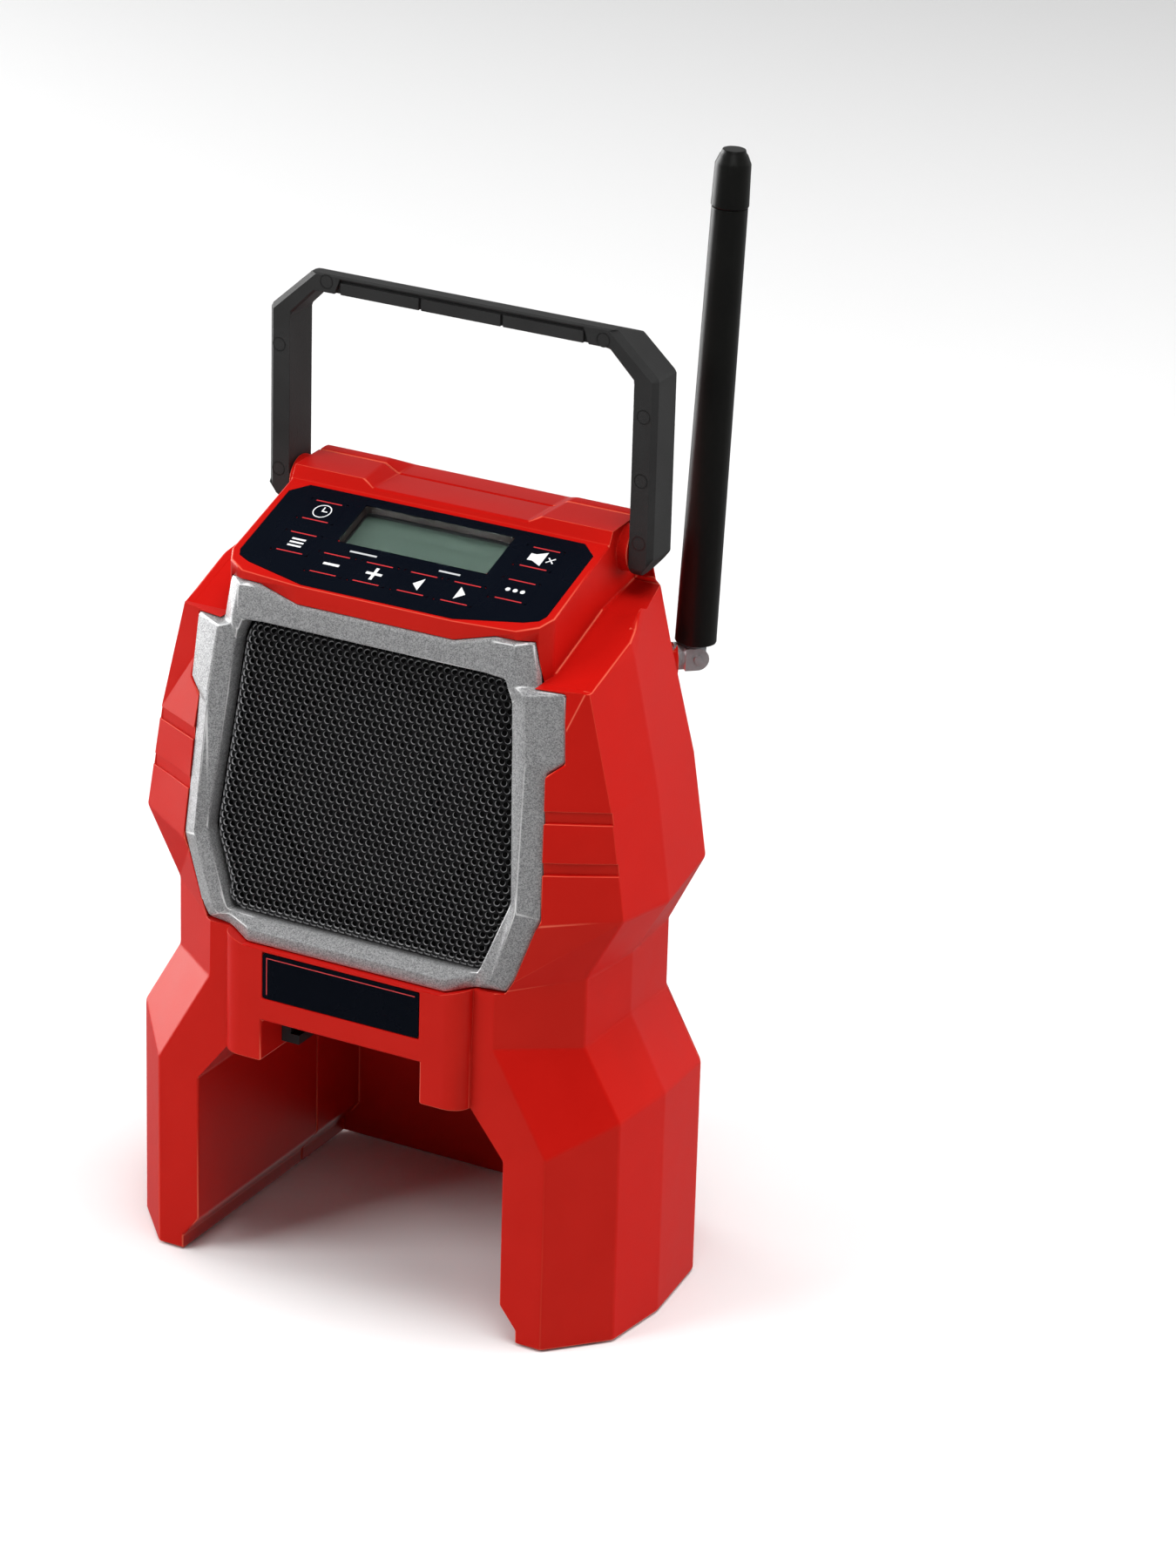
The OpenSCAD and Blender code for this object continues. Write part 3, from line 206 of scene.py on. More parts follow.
def grain_group():
    """Fine moulded grain: a bumpy normal, and a mottle that varies colour and gloss."""
    group = bpy.data.node_groups.new("moulded grain", "ShaderNodeTree")
    for label, default in (("Grain size", 0.4), ("Depth", 0.02), ("Mottle size", 14.0)):
        socket = group.interface.new_socket(label, in_out="INPUT", socket_type="NodeSocketFloat")
        socket.default_value = default
    group.interface.new_socket("Normal", in_out="OUTPUT", socket_type="NodeSocketVector")
    group.interface.new_socket("Grain", in_out="OUTPUT", socket_type="NodeSocketFloat")
    group.interface.new_socket("Mottle", in_out="OUTPUT", socket_type="NodeSocketFloat")
    nodes, links = group.nodes, group.links
    given = nodes.new("NodeGroupInput")
    result = nodes.new("NodeGroupOutput")
    place = nodes.new("ShaderNodeTexCoord")

    def noise(size_label, detail):
        scale = nodes.new("ShaderNodeMath")
        scale.operation = "DIVIDE"
        scale.inputs[0].default_value = 1000.0
        links.new(given.outputs[size_label], scale.inputs[1])
        texture = nodes.new("ShaderNodeTexNoise")
        texture.inputs["Detail"].default_value = detail
        links.new(place.outputs["Object"], texture.inputs["Vector"])
        links.new(scale.outputs[0], texture.inputs["Scale"])
        return texture.outputs["Fac"]

    fine = noise("Grain size", 2.0)
    broad = noise("Mottle size", 3.0)
    depth = nodes.new("ShaderNodeMath")
    depth.operation = "MULTIPLY"
    depth.inputs[1].default_value = 0.001
    links.new(given.outputs["Depth"], depth.inputs[0])
    bump = nodes.new("ShaderNodeBump")
    bump.inputs["Strength"].default_value = 1.0
    links.new(depth.outputs[0], bump.inputs["Distance"])
    links.new(fine, bump.inputs["Height"])
    links.new(bump.outputs["Normal"], result.inputs["Normal"])
    links.new(fine, result.inputs["Grain"])
    links.new(broad, result.inputs["Mottle"])
    return group


GRAIN = grain_group()


def grained(name, dark, light, gloss, grain_mm, depth_mm, mottle_mm=14.0, shine=0.5, tint=(1, 1, 1)):
    """A plastic or rubber whose colour and gloss vary a little over the surface."""
    material, tree, shader = new_material(name)
    shader.inputs["Specular IOR Level"].default_value = shine
    shader.inputs["Specular Tint"].default_value = (*tint, 1)
    grain = tree.nodes.new("ShaderNodeGroup")
    grain.node_tree = GRAIN
    grain.inputs["Grain size"].default_value = grain_mm
    grain.inputs["Depth"].default_value = depth_mm
    grain.inputs["Mottle size"].default_value = mottle_mm
    colour = tree.nodes.new("ShaderNodeMix")
    colour.data_type = "RGBA"
    colour.inputs["A"].default_value = (*dark, 1)
    colour.inputs["B"].default_value = (*light, 1)
    tree.links.new(grain.outputs["Mottle"], colour.inputs["Factor"])
    tree.links.new(colour.outputs["Result"], shader.inputs["Base Color"])
    rough = tree.nodes.new("ShaderNodeMapRange")
    rough.inputs["To Min"].default_value = gloss[0]
    rough.inputs["To Max"].default_value = gloss[1]
    tree.links.new(grain.outputs["Mottle"], rough.inputs["Value"])
    tree.links.new(rough.outputs["Result"], shader.inputs["Roughness"])
    tree.links.new(grain.outputs["Normal"], shader.inputs["Normal"])
    return material


def edge_highlight_group():
    """A mask of painted highlight along the crests of the rounded edges, broken up a little by noise."""
    group = bpy.data.node_groups.new("painted edge highlight mask", "ShaderNodeTree")
    socket = group.interface.new_socket("Break up", in_out="INPUT", socket_type="NodeSocketFloat")
    socket.default_value = 0.3
    group.interface.new_socket("Edge", in_out="OUTPUT", socket_type="NodeSocketFloat")
    nodes, links = group.nodes, group.links
    given = nodes.new("NodeGroupInput")
    result = nodes.new("NodeGroupOutput")
    crest = nodes.new("ShaderNodeAttribute")
    crest.attribute_name = "crest"
    narrow = nodes.new("ShaderNodeMapRange")
    narrow.interpolation_type = "SMOOTHSTEP"
    narrow.inputs["From Min"].default_value = 0.25
    links.new(crest.outputs["Fac"], narrow.inputs["Value"])
    place = nodes.new("ShaderNodeTexCoord")
    highlight_breakup_noise = nodes.new("ShaderNodeTexNoise")
    highlight_breakup_noise.inputs["Scale"].default_value = 1 / (6 * MM)
    highlight_breakup_noise.inputs["Detail"].default_value = 3.0
    links.new(place.outputs["Object"], highlight_breakup_noise.inputs["Vector"])
    highlight_breakup = nodes.new("ShaderNodeMath")
    highlight_breakup.operation = "MULTIPLY"
    links.new(highlight_breakup_noise.outputs["Fac"], highlight_breakup.inputs[0])
    links.new(given.outputs["Break up"], highlight_breakup.inputs[1])
    kept = nodes.new("ShaderNodeMath")
    kept.operation = "SUBTRACT"
    kept.inputs[0].default_value = 1.0
    links.new(highlight_breakup.outputs[0], kept.inputs[1])
    mask = nodes.new("ShaderNodeMath")
    mask.operation = "MULTIPLY"
    links.new(narrow.outputs["Result"], mask.inputs[0])
    links.new(kept.outputs[0], mask.inputs[1])
    links.new(mask.outputs[0], result.inputs["Edge"])
    return group


EDGE_HIGHLIGHT = edge_highlight_group()


def paint_edge_highlights(material, colour, strength):
    """Paints a highlight along the convex edges: blends a lighter colour over the base colour there."""
    tree = material.node_tree
    shader = tree.nodes["Principled BSDF"]
    edge = tree.nodes.new("ShaderNodeGroup")
    edge.node_tree = EDGE_HIGHLIGHT
    amount = tree.nodes.new("ShaderNodeMath")
    amount.operation = "MULTIPLY"
    amount.inputs[1].default_value = strength
    tree.links.new(edge.outputs["Edge"], amount.inputs[0])
    blend = tree.nodes.new("ShaderNodeMix")
    blend.data_type = "RGBA"
    blend.inputs["B"].default_value = (*colour, 1)
    under = shader.inputs["Base Color"].links[0].from_socket
    tree.links.new(amount.outputs[0], blend.inputs["Factor"])
    tree.links.new(under, blend.inputs["A"])
    tree.links.new(blend.outputs["Result"], shader.inputs["Base Color"])
    return material


RED = grained("casing_red", (0.42, 0.0055, 0.0036), (0.47, 0.0065, 0.0042), (0.32, 0.42), 0.45, 0.02,
              shine=0.2, tint=(1, 0.66, 0.42))
# The casing's convex edges get a painted highlight: a pale orange-red blended in along their crests.
paint_edge_highlights(RED, (0.9, 0.2, 0.12), 0.6)
# The control panel's frame: X across, Y up its slope, Z out of it, in millimetres
PANEL_Y, PANEL_Z, PANEL_SLOPE = -35.4, 219.6, 20
FILM_HALF_W, FILM_H = 51.4, 42.6
on_panel = (Matrix.Translation((0, PANEL_Y * MM, PANEL_Z * MM))
            @ Matrix.Rotation(math.radians(PANEL_SLOPE), 4, "X") @ Matrix.Scale(MM, 4))


def casing_rounding(middle):
    """No rounding under the control film, which lies flat on the tray."""
    spot = on_panel.inverted() @ middle
    under_film = abs(spot.x) < FILM_HALF_W and -1.0 < spot.y < FILM_H and -6 < spot.z < -0.05
    return 0.0 if under_film else 1.0


for half in ("front_casing", "rear_casing"):
    shell = round_edges(merged_copy(half, half + "_shell"), 0.8 * MM, share=casing_rounding)
    stands_for(shell, half, RED)
front_shell = bpy.data.objects["front_casing_shell"]


# ---- Screws and feet ---------------------------------------------------------------------------
# Zinc-plated steel screws hold the casing, and four soft rubber pads are pressed into the feet.
# The grille's holes show the speaker's screws, so those are made near black, a painted shade like the
# pocket's behind the sheet.

def plain(name, colour, roughness, metallic=0.0):
    """A material of one even colour."""
    material, _, shader = new_material(name)
    shader.inputs["Base Color"].default_value = (*colour, 1)
    shader.inputs["Roughness"].default_value = roughness
    shader.inputs["Metallic"].default_value = metallic
    return material


def dress(node, material):
    """A CAD node that keeps its own mesh gets its finish."""
    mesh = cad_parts[node].data
    mesh.materials.clear()
    mesh.materials.append(material)


ZINC = plain("zinc_screws", (0.55, 0.56, 0.58), 0.32, 1.0)
RUBBER = grained("black_rubber", (0.012, 0.012, 0.012), (0.02, 0.02, 0.02), (0.55, 0.7), 0.3, 0.02)
for node in ("casing_screws", "bezel_screws", "control_board_screws", "handle_screws", "handle_washers",
             "main_board_screws", "dock_screws", "aerial_nut", "aerial_core"):
    dress(node, ZINC)
# The speaker's screws are painted near black as shade, since they show through the grille's holes.
dress("speaker_screws", plain("speaker_screws_painted_shade", (0.02, 0.02, 0.022), 0.55, 0.5))
dress("rubber_feet", RUBBER)


# ---- Speaker bezel -----------------------------------------------------------------------------
# A plastic frame sprayed with coarse silver paint, whose flakes glitter grain by grain. Four
# screws from behind hold it to the casing.

def silver_paint():
    """Silver lacquer: fine flakes of uneven grey over a satin coat."""
    material, tree, shader = new_material("silver_paint")
    place = tree.nodes.new("ShaderNodeTexCoord")
    flakes = tree.nodes.new("ShaderNodeTexVoronoi")
    flakes.inputs["Scale"].default_value = 1 / (0.3 * MM)
    tree.links.new(place.outputs["Object"], flakes.inputs["Vector"])
    grey = tree.nodes.new("ShaderNodeSeparateColor")
    tree.links.new(flakes.outputs["Color"], grey.inputs["Color"])
    shade = tree.nodes.new("ShaderNodeMix")
    shade.data_type = "RGBA"
    shade.inputs["A"].default_value = (0.22, 0.222, 0.226, 1)
    shade.inputs["B"].default_value = (0.54, 0.541, 0.546, 1)
    tree.links.new(grey.outputs["Red"], shade.inputs["Factor"])
    tree.links.new(shade.outputs["Result"], shader.inputs["Base Color"])
    rough = tree.nodes.new("ShaderNodeMapRange")
    rough.inputs["To Min"].default_value = 0.36
    rough.inputs["To Max"].default_value = 0.5
    tree.links.new(grey.outputs["Green"], rough.inputs["Value"])
    tree.links.new(rough.outputs["Result"], shader.inputs["Roughness"])
    bump = tree.nodes.new("ShaderNodeBump")
    bump.inputs["Strength"].default_value = 0.35
    bump.inputs["Distance"].default_value = 0.025 * MM
    tree.links.new(grey.outputs["Blue"], bump.inputs["Height"])
    tree.links.new(bump.outputs["Normal"], shader.inputs["Normal"])
    shader.inputs["Metallic"].default_value = 0.45
    return material


# The bezel's convex edges get a painted highlight: white blended in along their crests.
SILVER = paint_edge_highlights(silver_paint(), (1, 1, 1), 1.2)
bezel = round_edges(merged_copy("speaker_bezel", "bezel_frame"), 0.75 * MM)
stands_for(bezel, "speaker_bezel", SILVER)


# ---- Grille ------------------------------------------------------------------------------------
# A black-lacquered steel sheet punched with staggered round holes. Its edges are drawn back round
# a soft bend into the pocket behind the bezel, so the rows of holes run over the bend.

FACE_Y, FACE_Z, FACE_LEAN = -43.9, 159.95, 7.5
HOLE_PITCH, HOLE_R = 2.42, 0.92
SHEET_T, BEND_R = 0.9, 4.6
GRILLE_N, SKIRT_N = -3.2, -9.0
on_face = (Matrix.Translation((0, FACE_Y * MM, FACE_Z * MM))
           @ Matrix.Rotation(math.radians(90 - FACE_LEAN), 4, "X") @ Matrix.Scale(MM, 4))


def both_sides(half):
    """The closed outline whose right half is given from the bottom to the top."""
    return half + [(-x, y) for x, y in reversed(half) if abs(x) > 1e-6]


def inset(outline, by):
    """Moves every edge of a counterclockwise outline inwards, or outwards for a negative step."""
    moved = []
    for i, here in enumerate(outline):
        before, after = Vector(outline[i - 1]), Vector(outline[(i + 1) % len(outline)])
        here = Vector(here)
        u, v = (here - before).normalized(), (after - here).normalized()
        normal = Vector((-u.y - v.y, u.x + v.x))
        moved.append(tuple(here + normal * (by / (1 + u.dot(v)))))
    return moved


def rounded_outline(outline, radius, steps=5):
    """Cuts each corner of an outline back to an arc-like curve."""
    made = []
    for i, here in enumerate(outline):
        before, after = Vector(outline[i - 1]), Vector(outline[(i + 1) % len(outline)])
        here = Vector(here)
        reach = min(radius, (here - before).length * 0.45, (after - here).length * 0.45)
        first = here + (before - here).normalized() * reach
        last = here + (after - here).normalized() * reach
        for k in range(steps + 1):
            t = k / steps
            made.append(tuple(first * (1 - t) ** 2 + here * 2 * t * (1 - t) + last * t ** 2))
    return made


# The bezel's inner edge: the right half from the bottom middle to the top middle
BEZEL_OPENING = both_sides([(0, -43.08), (31.7, -43.08), (41.3, -42.68), (42.3, -42.48), (43.1, -41.08),
                            (51.2, -19.48), (47.8, 18.41), (47.5, 22.01), (46.1, 39.61), (45.3, 42.01),
                            (43.7, 46.01), (37, 46.51), (0, 46.51)])
sheet_edge = inset(BEZEL_OPENING, 0.75)
flat_edge = rounded_outline(inset(sheet_edge, BEND_R), 3.0)


def plain_mesh(name, points, faces):
    mesh = bpy.data.meshes.new(name)
    mesh.from_pydata(points, [], faces)
    return mesh


def hole_tile(face, rim_highlight):
    """One hexagon of punched sheet round one hole, with the rim of the hole rounded over; the upper part of
    the hole's wall is in the painted-highlight grey.
    """
    rings = []
    for kind, height in (("hexagon", 0), (HOLE_R + 0.12, 0), (HOLE_R + 0.04, -0.04), (HOLE_R, -0.45),
                         (HOLE_R, -SHEET_T)):
        ring = []
        for k in range(12):
            turn = math.radians(30 * k)
            if kind == "hexagon":
                reach = HOLE_PITCH / 2 if k % 2 == 0 else HOLE_PITCH / 2 / math.cos(math.radians(30))
            else:
                reach = kind
            ring.append((reach * math.cos(turn), reach * math.sin(turn), height))
        rings.append(ring)
    points = [p for ring in rings for p in ring]
    faces = []
    for r in range(len(rings) - 1):
        for k in range(12):
            n = (k + 1) % 12
            faces.append((12 * r + k, 12 * r + n, 12 * (r + 1) + n, 12 * (r + 1) + k))
    mesh = plain_mesh("hole_tile", points, faces)
    mesh.polygons.foreach_set("use_smooth", [k >= 12 for k in range(len(faces))])
    mesh.polygons.foreach_set("material_index", [1 if 24 <= k < 36 else 0 for k in range(len(faces))])
    mesh.materials.append(face)
    mesh.materials.append(rim_highlight)
    return mesh


def hidden_object(name, mesh):
    """An object that only feeds Geometry Nodes, and is taken away afterwards."""
    holder = bpy.data.objects.new(name, mesh)
    scene.collection.objects.link(holder)
    return holder


def punched_sheet_nodes():
    """Geometry Nodes: hexagons on a staggered grid, bent back where they pass the flat outline."""
    group = bpy.data.node_groups.new("punched sheet", "GeometryNodeTree")
    group.interface.new_socket("Geometry", in_out="OUTPUT", socket_type="NodeSocketGeometry")
    for label, kind in (("Tile", "NodeSocketObject"), ("Flat part", "NodeSocketObject"),
                        ("Pitch", "NodeSocketFloat"), ("Bend radius", "NodeSocketFloat"),
                        ("Spill", "NodeSocketFloat"), ("Half width", "NodeSocketFloat"),
                        ("Skirt", "NodeSocketObject"), ("Finish", "NodeSocketMaterial")):
        group.interface.new_socket(label, in_out="INPUT", socket_type=kind)
    nodes, links = group.nodes, group.links
    given = nodes.new("NodeGroupInput")
    result = nodes.new("NodeGroupOutput")

    def math_node(operation, a, b=None):
        node = nodes.new("ShaderNodeMath")
        node.operation = operation
        for slot, value in enumerate((a, b)):
            if value is None:
                continue
            if isinstance(value, (int, float)):
                node.inputs[slot].default_value = value
            else:
                links.new(value, node.inputs[slot])
        return node.outputs[0]

    def vector_node(operation, a, b=None, scale=None):
        node = nodes.new("ShaderNodeVectorMath")
        node.operation = operation
        links.new(a, node.inputs[0])
        if b is not None:
            links.new(b, node.inputs[1])
        if scale is not None:
            links.new(scale, node.inputs["Scale"])
        return node.outputs["Vector"]

    def object_mesh(label):
        info = nodes.new("GeometryNodeObjectInfo")
        links.new(given.outputs[label], info.inputs["Object"])
        return info.outputs["Geometry"]

    # The grid: odd rows are pushed half a pitch sideways
    pitch = given.outputs["Pitch"]
    row_gap = math_node("MULTIPLY", pitch, math.sin(math.radians(60)))
    count = math_node("ADD", math_node("MULTIPLY", math_node("FLOOR",
                      math_node("DIVIDE", given.outputs["Half width"], pitch)), 2), 1)
    rows = math_node("ADD", math_node("MULTIPLY", math_node("FLOOR",
                     math_node("DIVIDE", given.outputs["Half width"], row_gap)), 2), 1)
    grid = nodes.new("GeometryNodeMeshGrid")
    links.new(math_node("MULTIPLY", math_node("SUBTRACT", count, 1), pitch), grid.inputs["Size X"])
    links.new(math_node("MULTIPLY", math_node("SUBTRACT", rows, 1), row_gap), grid.inputs["Size Y"])
    links.new(count, grid.inputs["Vertices X"])
    links.new(rows, grid.inputs["Vertices Y"])
    place = nodes.new("GeometryNodeInputPosition").outputs[0]
    parts = nodes.new("ShaderNodeSeparateXYZ")
    links.new(place, parts.inputs[0])
    row = math_node("ROUND", math_node("DIVIDE", parts.outputs["Y"], row_gap))
    odd = math_node("ABSOLUTE", math_node("MODULO", row, 2))
    shift = nodes.new("ShaderNodeCombineXYZ")
    links.new(math_node("MULTIPLY", math_node("MULTIPLY", odd, 0.5), pitch), shift.inputs["X"])
    stagger = nodes.new("GeometryNodeSetPosition")
    links.new(grid.outputs["Mesh"], stagger.inputs["Geometry"])
    links.new(shift.outputs[0], stagger.inputs["Offset"])

    def past_flat(position):
        """How far a point lies outside the flat part, and the nearest point of it."""
        near = nodes.new("GeometryNodeProximity")
        near.target_element = "FACES"
        links.new(object_mesh("Flat part"), near.inputs[0])
        links.new(position, near.inputs["Sample Position"])
        return near.outputs["Distance"], near.outputs["Position"]

    points = nodes.new("GeometryNodeMeshToPoints")
    links.new(stagger.outputs[0], points.inputs["Mesh"])
    outside, _ = past_flat(nodes.new("GeometryNodeInputPosition").outputs[0])
    cull = nodes.new("GeometryNodeDeleteGeometry")
    cull.domain = "POINT"
    links.new(points.outputs[0], cull.inputs["Geometry"])
    links.new(math_node("GREATER_THAN", outside, given.outputs["Spill"]), cull.inputs["Selection"])
    copies = nodes.new("GeometryNodeInstanceOnPoints")
    links.new(cull.outputs[0], copies.inputs["Points"])
    links.new(object_mesh("Tile"), copies.inputs["Instance"])
    real = nodes.new("GeometryNodeRealizeInstances")
    links.new(copies.outputs[0], real.inputs[0])
    weld = nodes.new("GeometryNodeMergeByDistance")
    weld.inputs["Distance"].default_value = 0.01
    links.new(real.outputs[0], weld.inputs["Geometry"])

    # The bend: a point d outside the flat part lands on a quarter round, then runs straight back
    here = nodes.new("GeometryNodeInputPosition").outputs[0]
    split = nodes.new("ShaderNodeSeparateXYZ")
    links.new(here, split.inputs[0])
    flat = nodes.new("ShaderNodeCombineXYZ")
    links.new(split.outputs["X"], flat.inputs["X"])
    links.new(split.outputs["Y"], flat.inputs["Y"])
    distance, nearest = past_flat(flat.outputs[0])
    bend = given.outputs["Bend radius"]
    turn = math_node("MINIMUM", math_node("DIVIDE", distance, bend), math.pi / 2)
    quarter = math_node("MULTIPLY", bend, math.pi / 2)
    straight = math_node("MAXIMUM", math_node("SUBTRACT", distance, quarter), 0)
    reach = math_node("MULTIPLY", math_node("ADD", bend, split.outputs["Z"]), math_node("SINE", turn))
    rise = math_node("MULTIPLY", math_node("ADD", bend, split.outputs["Z"]), math_node("COSINE", turn))
    height = math_node("SUBTRACT", math_node("SUBTRACT", rise, bend), straight)
    outward = vector_node("NORMALIZE", vector_node("SUBTRACT", flat.outputs[0], nearest))
    foot = vector_node("ADD", nearest, vector_node("SCALE", outward, scale=reach))
    lift = nodes.new("ShaderNodeCombineXYZ")
    links.new(height, lift.inputs["Z"])
    bent = nodes.new("GeometryNodeSetPosition")
    links.new(weld.outputs[0], bent.inputs["Geometry"])
    links.new(math_node("GREATER_THAN", distance, 0.0001), bent.inputs["Selection"])
    links.new(vector_node("ADD", foot, lift.outputs[0]), bent.inputs["Position"])
    # The plain skirt below the bend takes its finish here and joins the punched part
    finish = nodes.new("GeometryNodeSetMaterial")
    links.new(object_mesh("Skirt"), finish.inputs["Geometry"])
    links.new(given.outputs["Finish"], finish.inputs["Material"])
    join = nodes.new("GeometryNodeJoinGeometry")
    links.new(finish.outputs[0], join.inputs[0])
    links.new(bent.outputs[0], join.inputs[0])
    links.new(join.outputs[0], result.inputs[0])
    return group


def make_with_nodes(name, group, values):
    """Runs a Geometry Nodes group on an empty mesh and keeps the plain mesh that it makes."""
    source = hidden_object(name + "_source", bpy.data.meshes.new(name + "_source"))
    modifier = source.modifiers.new("nodes", "NODES")
    modifier.node_group = group
    for item in group.interface.items_tree:
        if item.item_type == "SOCKET" and item.in_out == "INPUT" and item.name in values:
            modifier[item.identifier] = values[item.name]
    depsgraph = bpy.context.evaluated_depsgraph_get()
    mesh = bpy.data.meshes.new_from_object(source.evaluated_get(depsgraph), depsgraph=depsgraph)
    mesh.name = name
    bpy.data.objects.remove(source)
    made = bpy.data.objects.new(name, mesh)
    scene.collection.objects.link(made)
    return made


GRILLE_BLACK = grained("grille_black", (0.006, 0.006, 0.0065), (0.011, 0.011, 0.012), (0.26, 0.36),
                       0.5, 0.004)
# The rims of the holes are a light shiny grey: a painted highlight on the black sheet, which the lamps turn
# into bright crescents.
RIM_HIGHLIGHT_GREY = plain("hole_rims_painted_highlight", (0.6, 0.6, 0.61), 0.3, 0.55)


def prism(outline, low, high):
    """Points and faces of an upright prism on an outline."""
    count = len(outline)
    points = [(x, y, low) for x, y in outline] + [(x, y, high) for x, y in outline]
    faces = [tuple(range(count - 1, -1, -1)), tuple(range(count, 2 * count))]
    faces += [(k, (k + 1) % count, count + (k + 1) % count, count + k) for k in range(count)]
    return points, faces


def ring_wall(outer, inner, low, high):
    """Points and faces of an upright wall between two outlines with as many corners."""
    count = len(outer)
    points = [(x, y, z) for z in (low, high) for ring in (outer, inner) for x, y in ring]
    faces = []
    for k in range(count):
        n = (k + 1) % count
        faces += [(k, n, 2 * count + n, 2 * count + k),
                  (count + n, count + k, 3 * count + k, 3 * count + n),
                  (2 * count + k, 2 * count + n, 3 * count + n, 3 * count + k),
                  (n, k, count + k, count + n)]
    return points, faces


def solid(name, points, faces, place, material):
    """A piece of its own from points and faces, put in its place by its mesh."""
    mesh = plain_mesh(name, points, faces)
    mesh.transform(place)
    mesh.materials.append(material)
    piece = bpy.data.objects.new(name, mesh)
    scene.collection.objects.link(piece)
    return piece


skirt_out = rounded_outline(inset(sheet_edge, 0.02), 4.0)
skirt_in = rounded_outline(inset(sheet_edge, SHEET_T), 4.0)
skirt = ring_wall(skirt_out, skirt_in, SKIRT_N - GRILLE_N, 0.6 - BEND_R)
flat_part = ([(x, y, 0.0) for x, y in flat_edge], [tuple(range(len(flat_edge)))])
helpers = [hidden_object("hole_tile", hole_tile(GRILLE_BLACK, RIM_HIGHLIGHT_GREY)),
           hidden_object("flat_part", plain_mesh("flat_part", *flat_part)),
           hidden_object("skirt", plain_mesh("skirt", *skirt))]
sheet = make_with_nodes("perforated_sheet", punched_sheet_nodes(), {
    "Tile": helpers[0], "Flat part": helpers[1], "Skirt": helpers[2], "Pitch": HOLE_PITCH,
    "Bend radius": BEND_R, "Spill": BEND_R * math.pi / 2 - 0.3, "Half width": 60.0, "Finish": GRILLE_BLACK})
for helper in helpers:
    bpy.data.objects.remove(helper)
sheet.data.transform(on_face @ Matrix.Translation((0, 0, GRILLE_N)))
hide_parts("speaker_grille")
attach(sheet, "casing")

# The pocket behind the sheet is made near black, a painted shade, so that nothing red shows through the
# holes
front_shell.data.materials.append(plain("pocket_painted_shade", (0.006, 0.006, 0.006), 0.8))
to_face = on_face.inverted()


def within(x, y, outline):
    """Tells whether a point lies inside an outline."""
    inside = False
    for (ax, ay), (bx, by) in zip(outline, outline[1:] + outline[:1]):
        if (ay > y) != (by > y) and x < ax + (y - ay) * (bx - ax) / (by - ay):
            inside = not inside
    return inside


pocket = inset(BEZEL_OPENING, -4)
for polygon in front_shell.data.polygons:
    spot = to_face @ polygon.center
    if -14 < spot.z < -5 and within(spot.x, spot.y, pocket):
        polygon.material_index = 1


# ---- Control panel -----------------------------------------------------------------------------
# One printed film lies in the tray and covers eight push keys and the display. Each key has a red
# line above and below a white sign, and the film over it moves with the key.

NAVY = grained("navy_film", (0.0016, 0.0026, 0.0055), (0.0021, 0.0034, 0.007), (0.24, 0.3), 0.25, 0.002,
               shine=0.3)
PRINT_WHITE = plain("print_white", (0.75, 0.76, 0.77), 0.4)
PRINT_RED = plain("print_red", (0.5, 0.03, 0.035), 0.4)
PRINT_GREY = plain("print_grey", (0.5, 0.51, 0.52), 0.4)
KEY_W, KEY_H, FILM_OVER_KEY = 12.4, 9.6, 0.11
KEYS = {"key_clock": (-36.3, 32), "key_channel": (-36.3, 16.7), "key_volume_down": (-21.6, 10.8),
        "key_volume_up": (-7.2, 10.8), "key_seek_back": (7.2, 10.8), "key_seek_forward": (21.6, 10.8),
        "key_mute": (36.3, 32), "key_mode": (36.3, 16.7)}
for node in ["control_overlay", *KEYS]:
    dress(node, NAVY)


def bar(x, y, width, height, turn=0.0):
    """The outline of a bar round a middle point, turned by degrees."""
    c, s = math.cos(math.radians(turn)), math.sin(math.radians(turn))
    a, b = width / 2, height / 2
    return [(x + p * c - q * s, y + p * s + q * c) for p, q in ((-a, -b), (a, -b), (a, b), (-a, b))]


def disc(x, y, radius, count=24):
    """The outline of a disc."""
    turns = [2 * math.pi * k / count for k in range(count)]
    return [(x + radius * math.cos(turn), y + radius * math.sin(turn)) for turn in turns]


def printed(name, outlines, material, body, low=0.0, high=0.03, rings=()):
    """Thin printed shapes on the film, as closed slabs, which ride on a key or the casing."""
    points, faces = [], []
    made = [prism(outline, low, high) for outline in outlines]
    made += [ring_wall(outer, inner, low, high) for outer, inner in rings]
    for more_points, more_faces in made:
        start = len(points)
        points += more_points
        faces += [tuple(start + k for k in face) for face in more_faces]
    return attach(solid(name, points, faces, on_panel, material), body)


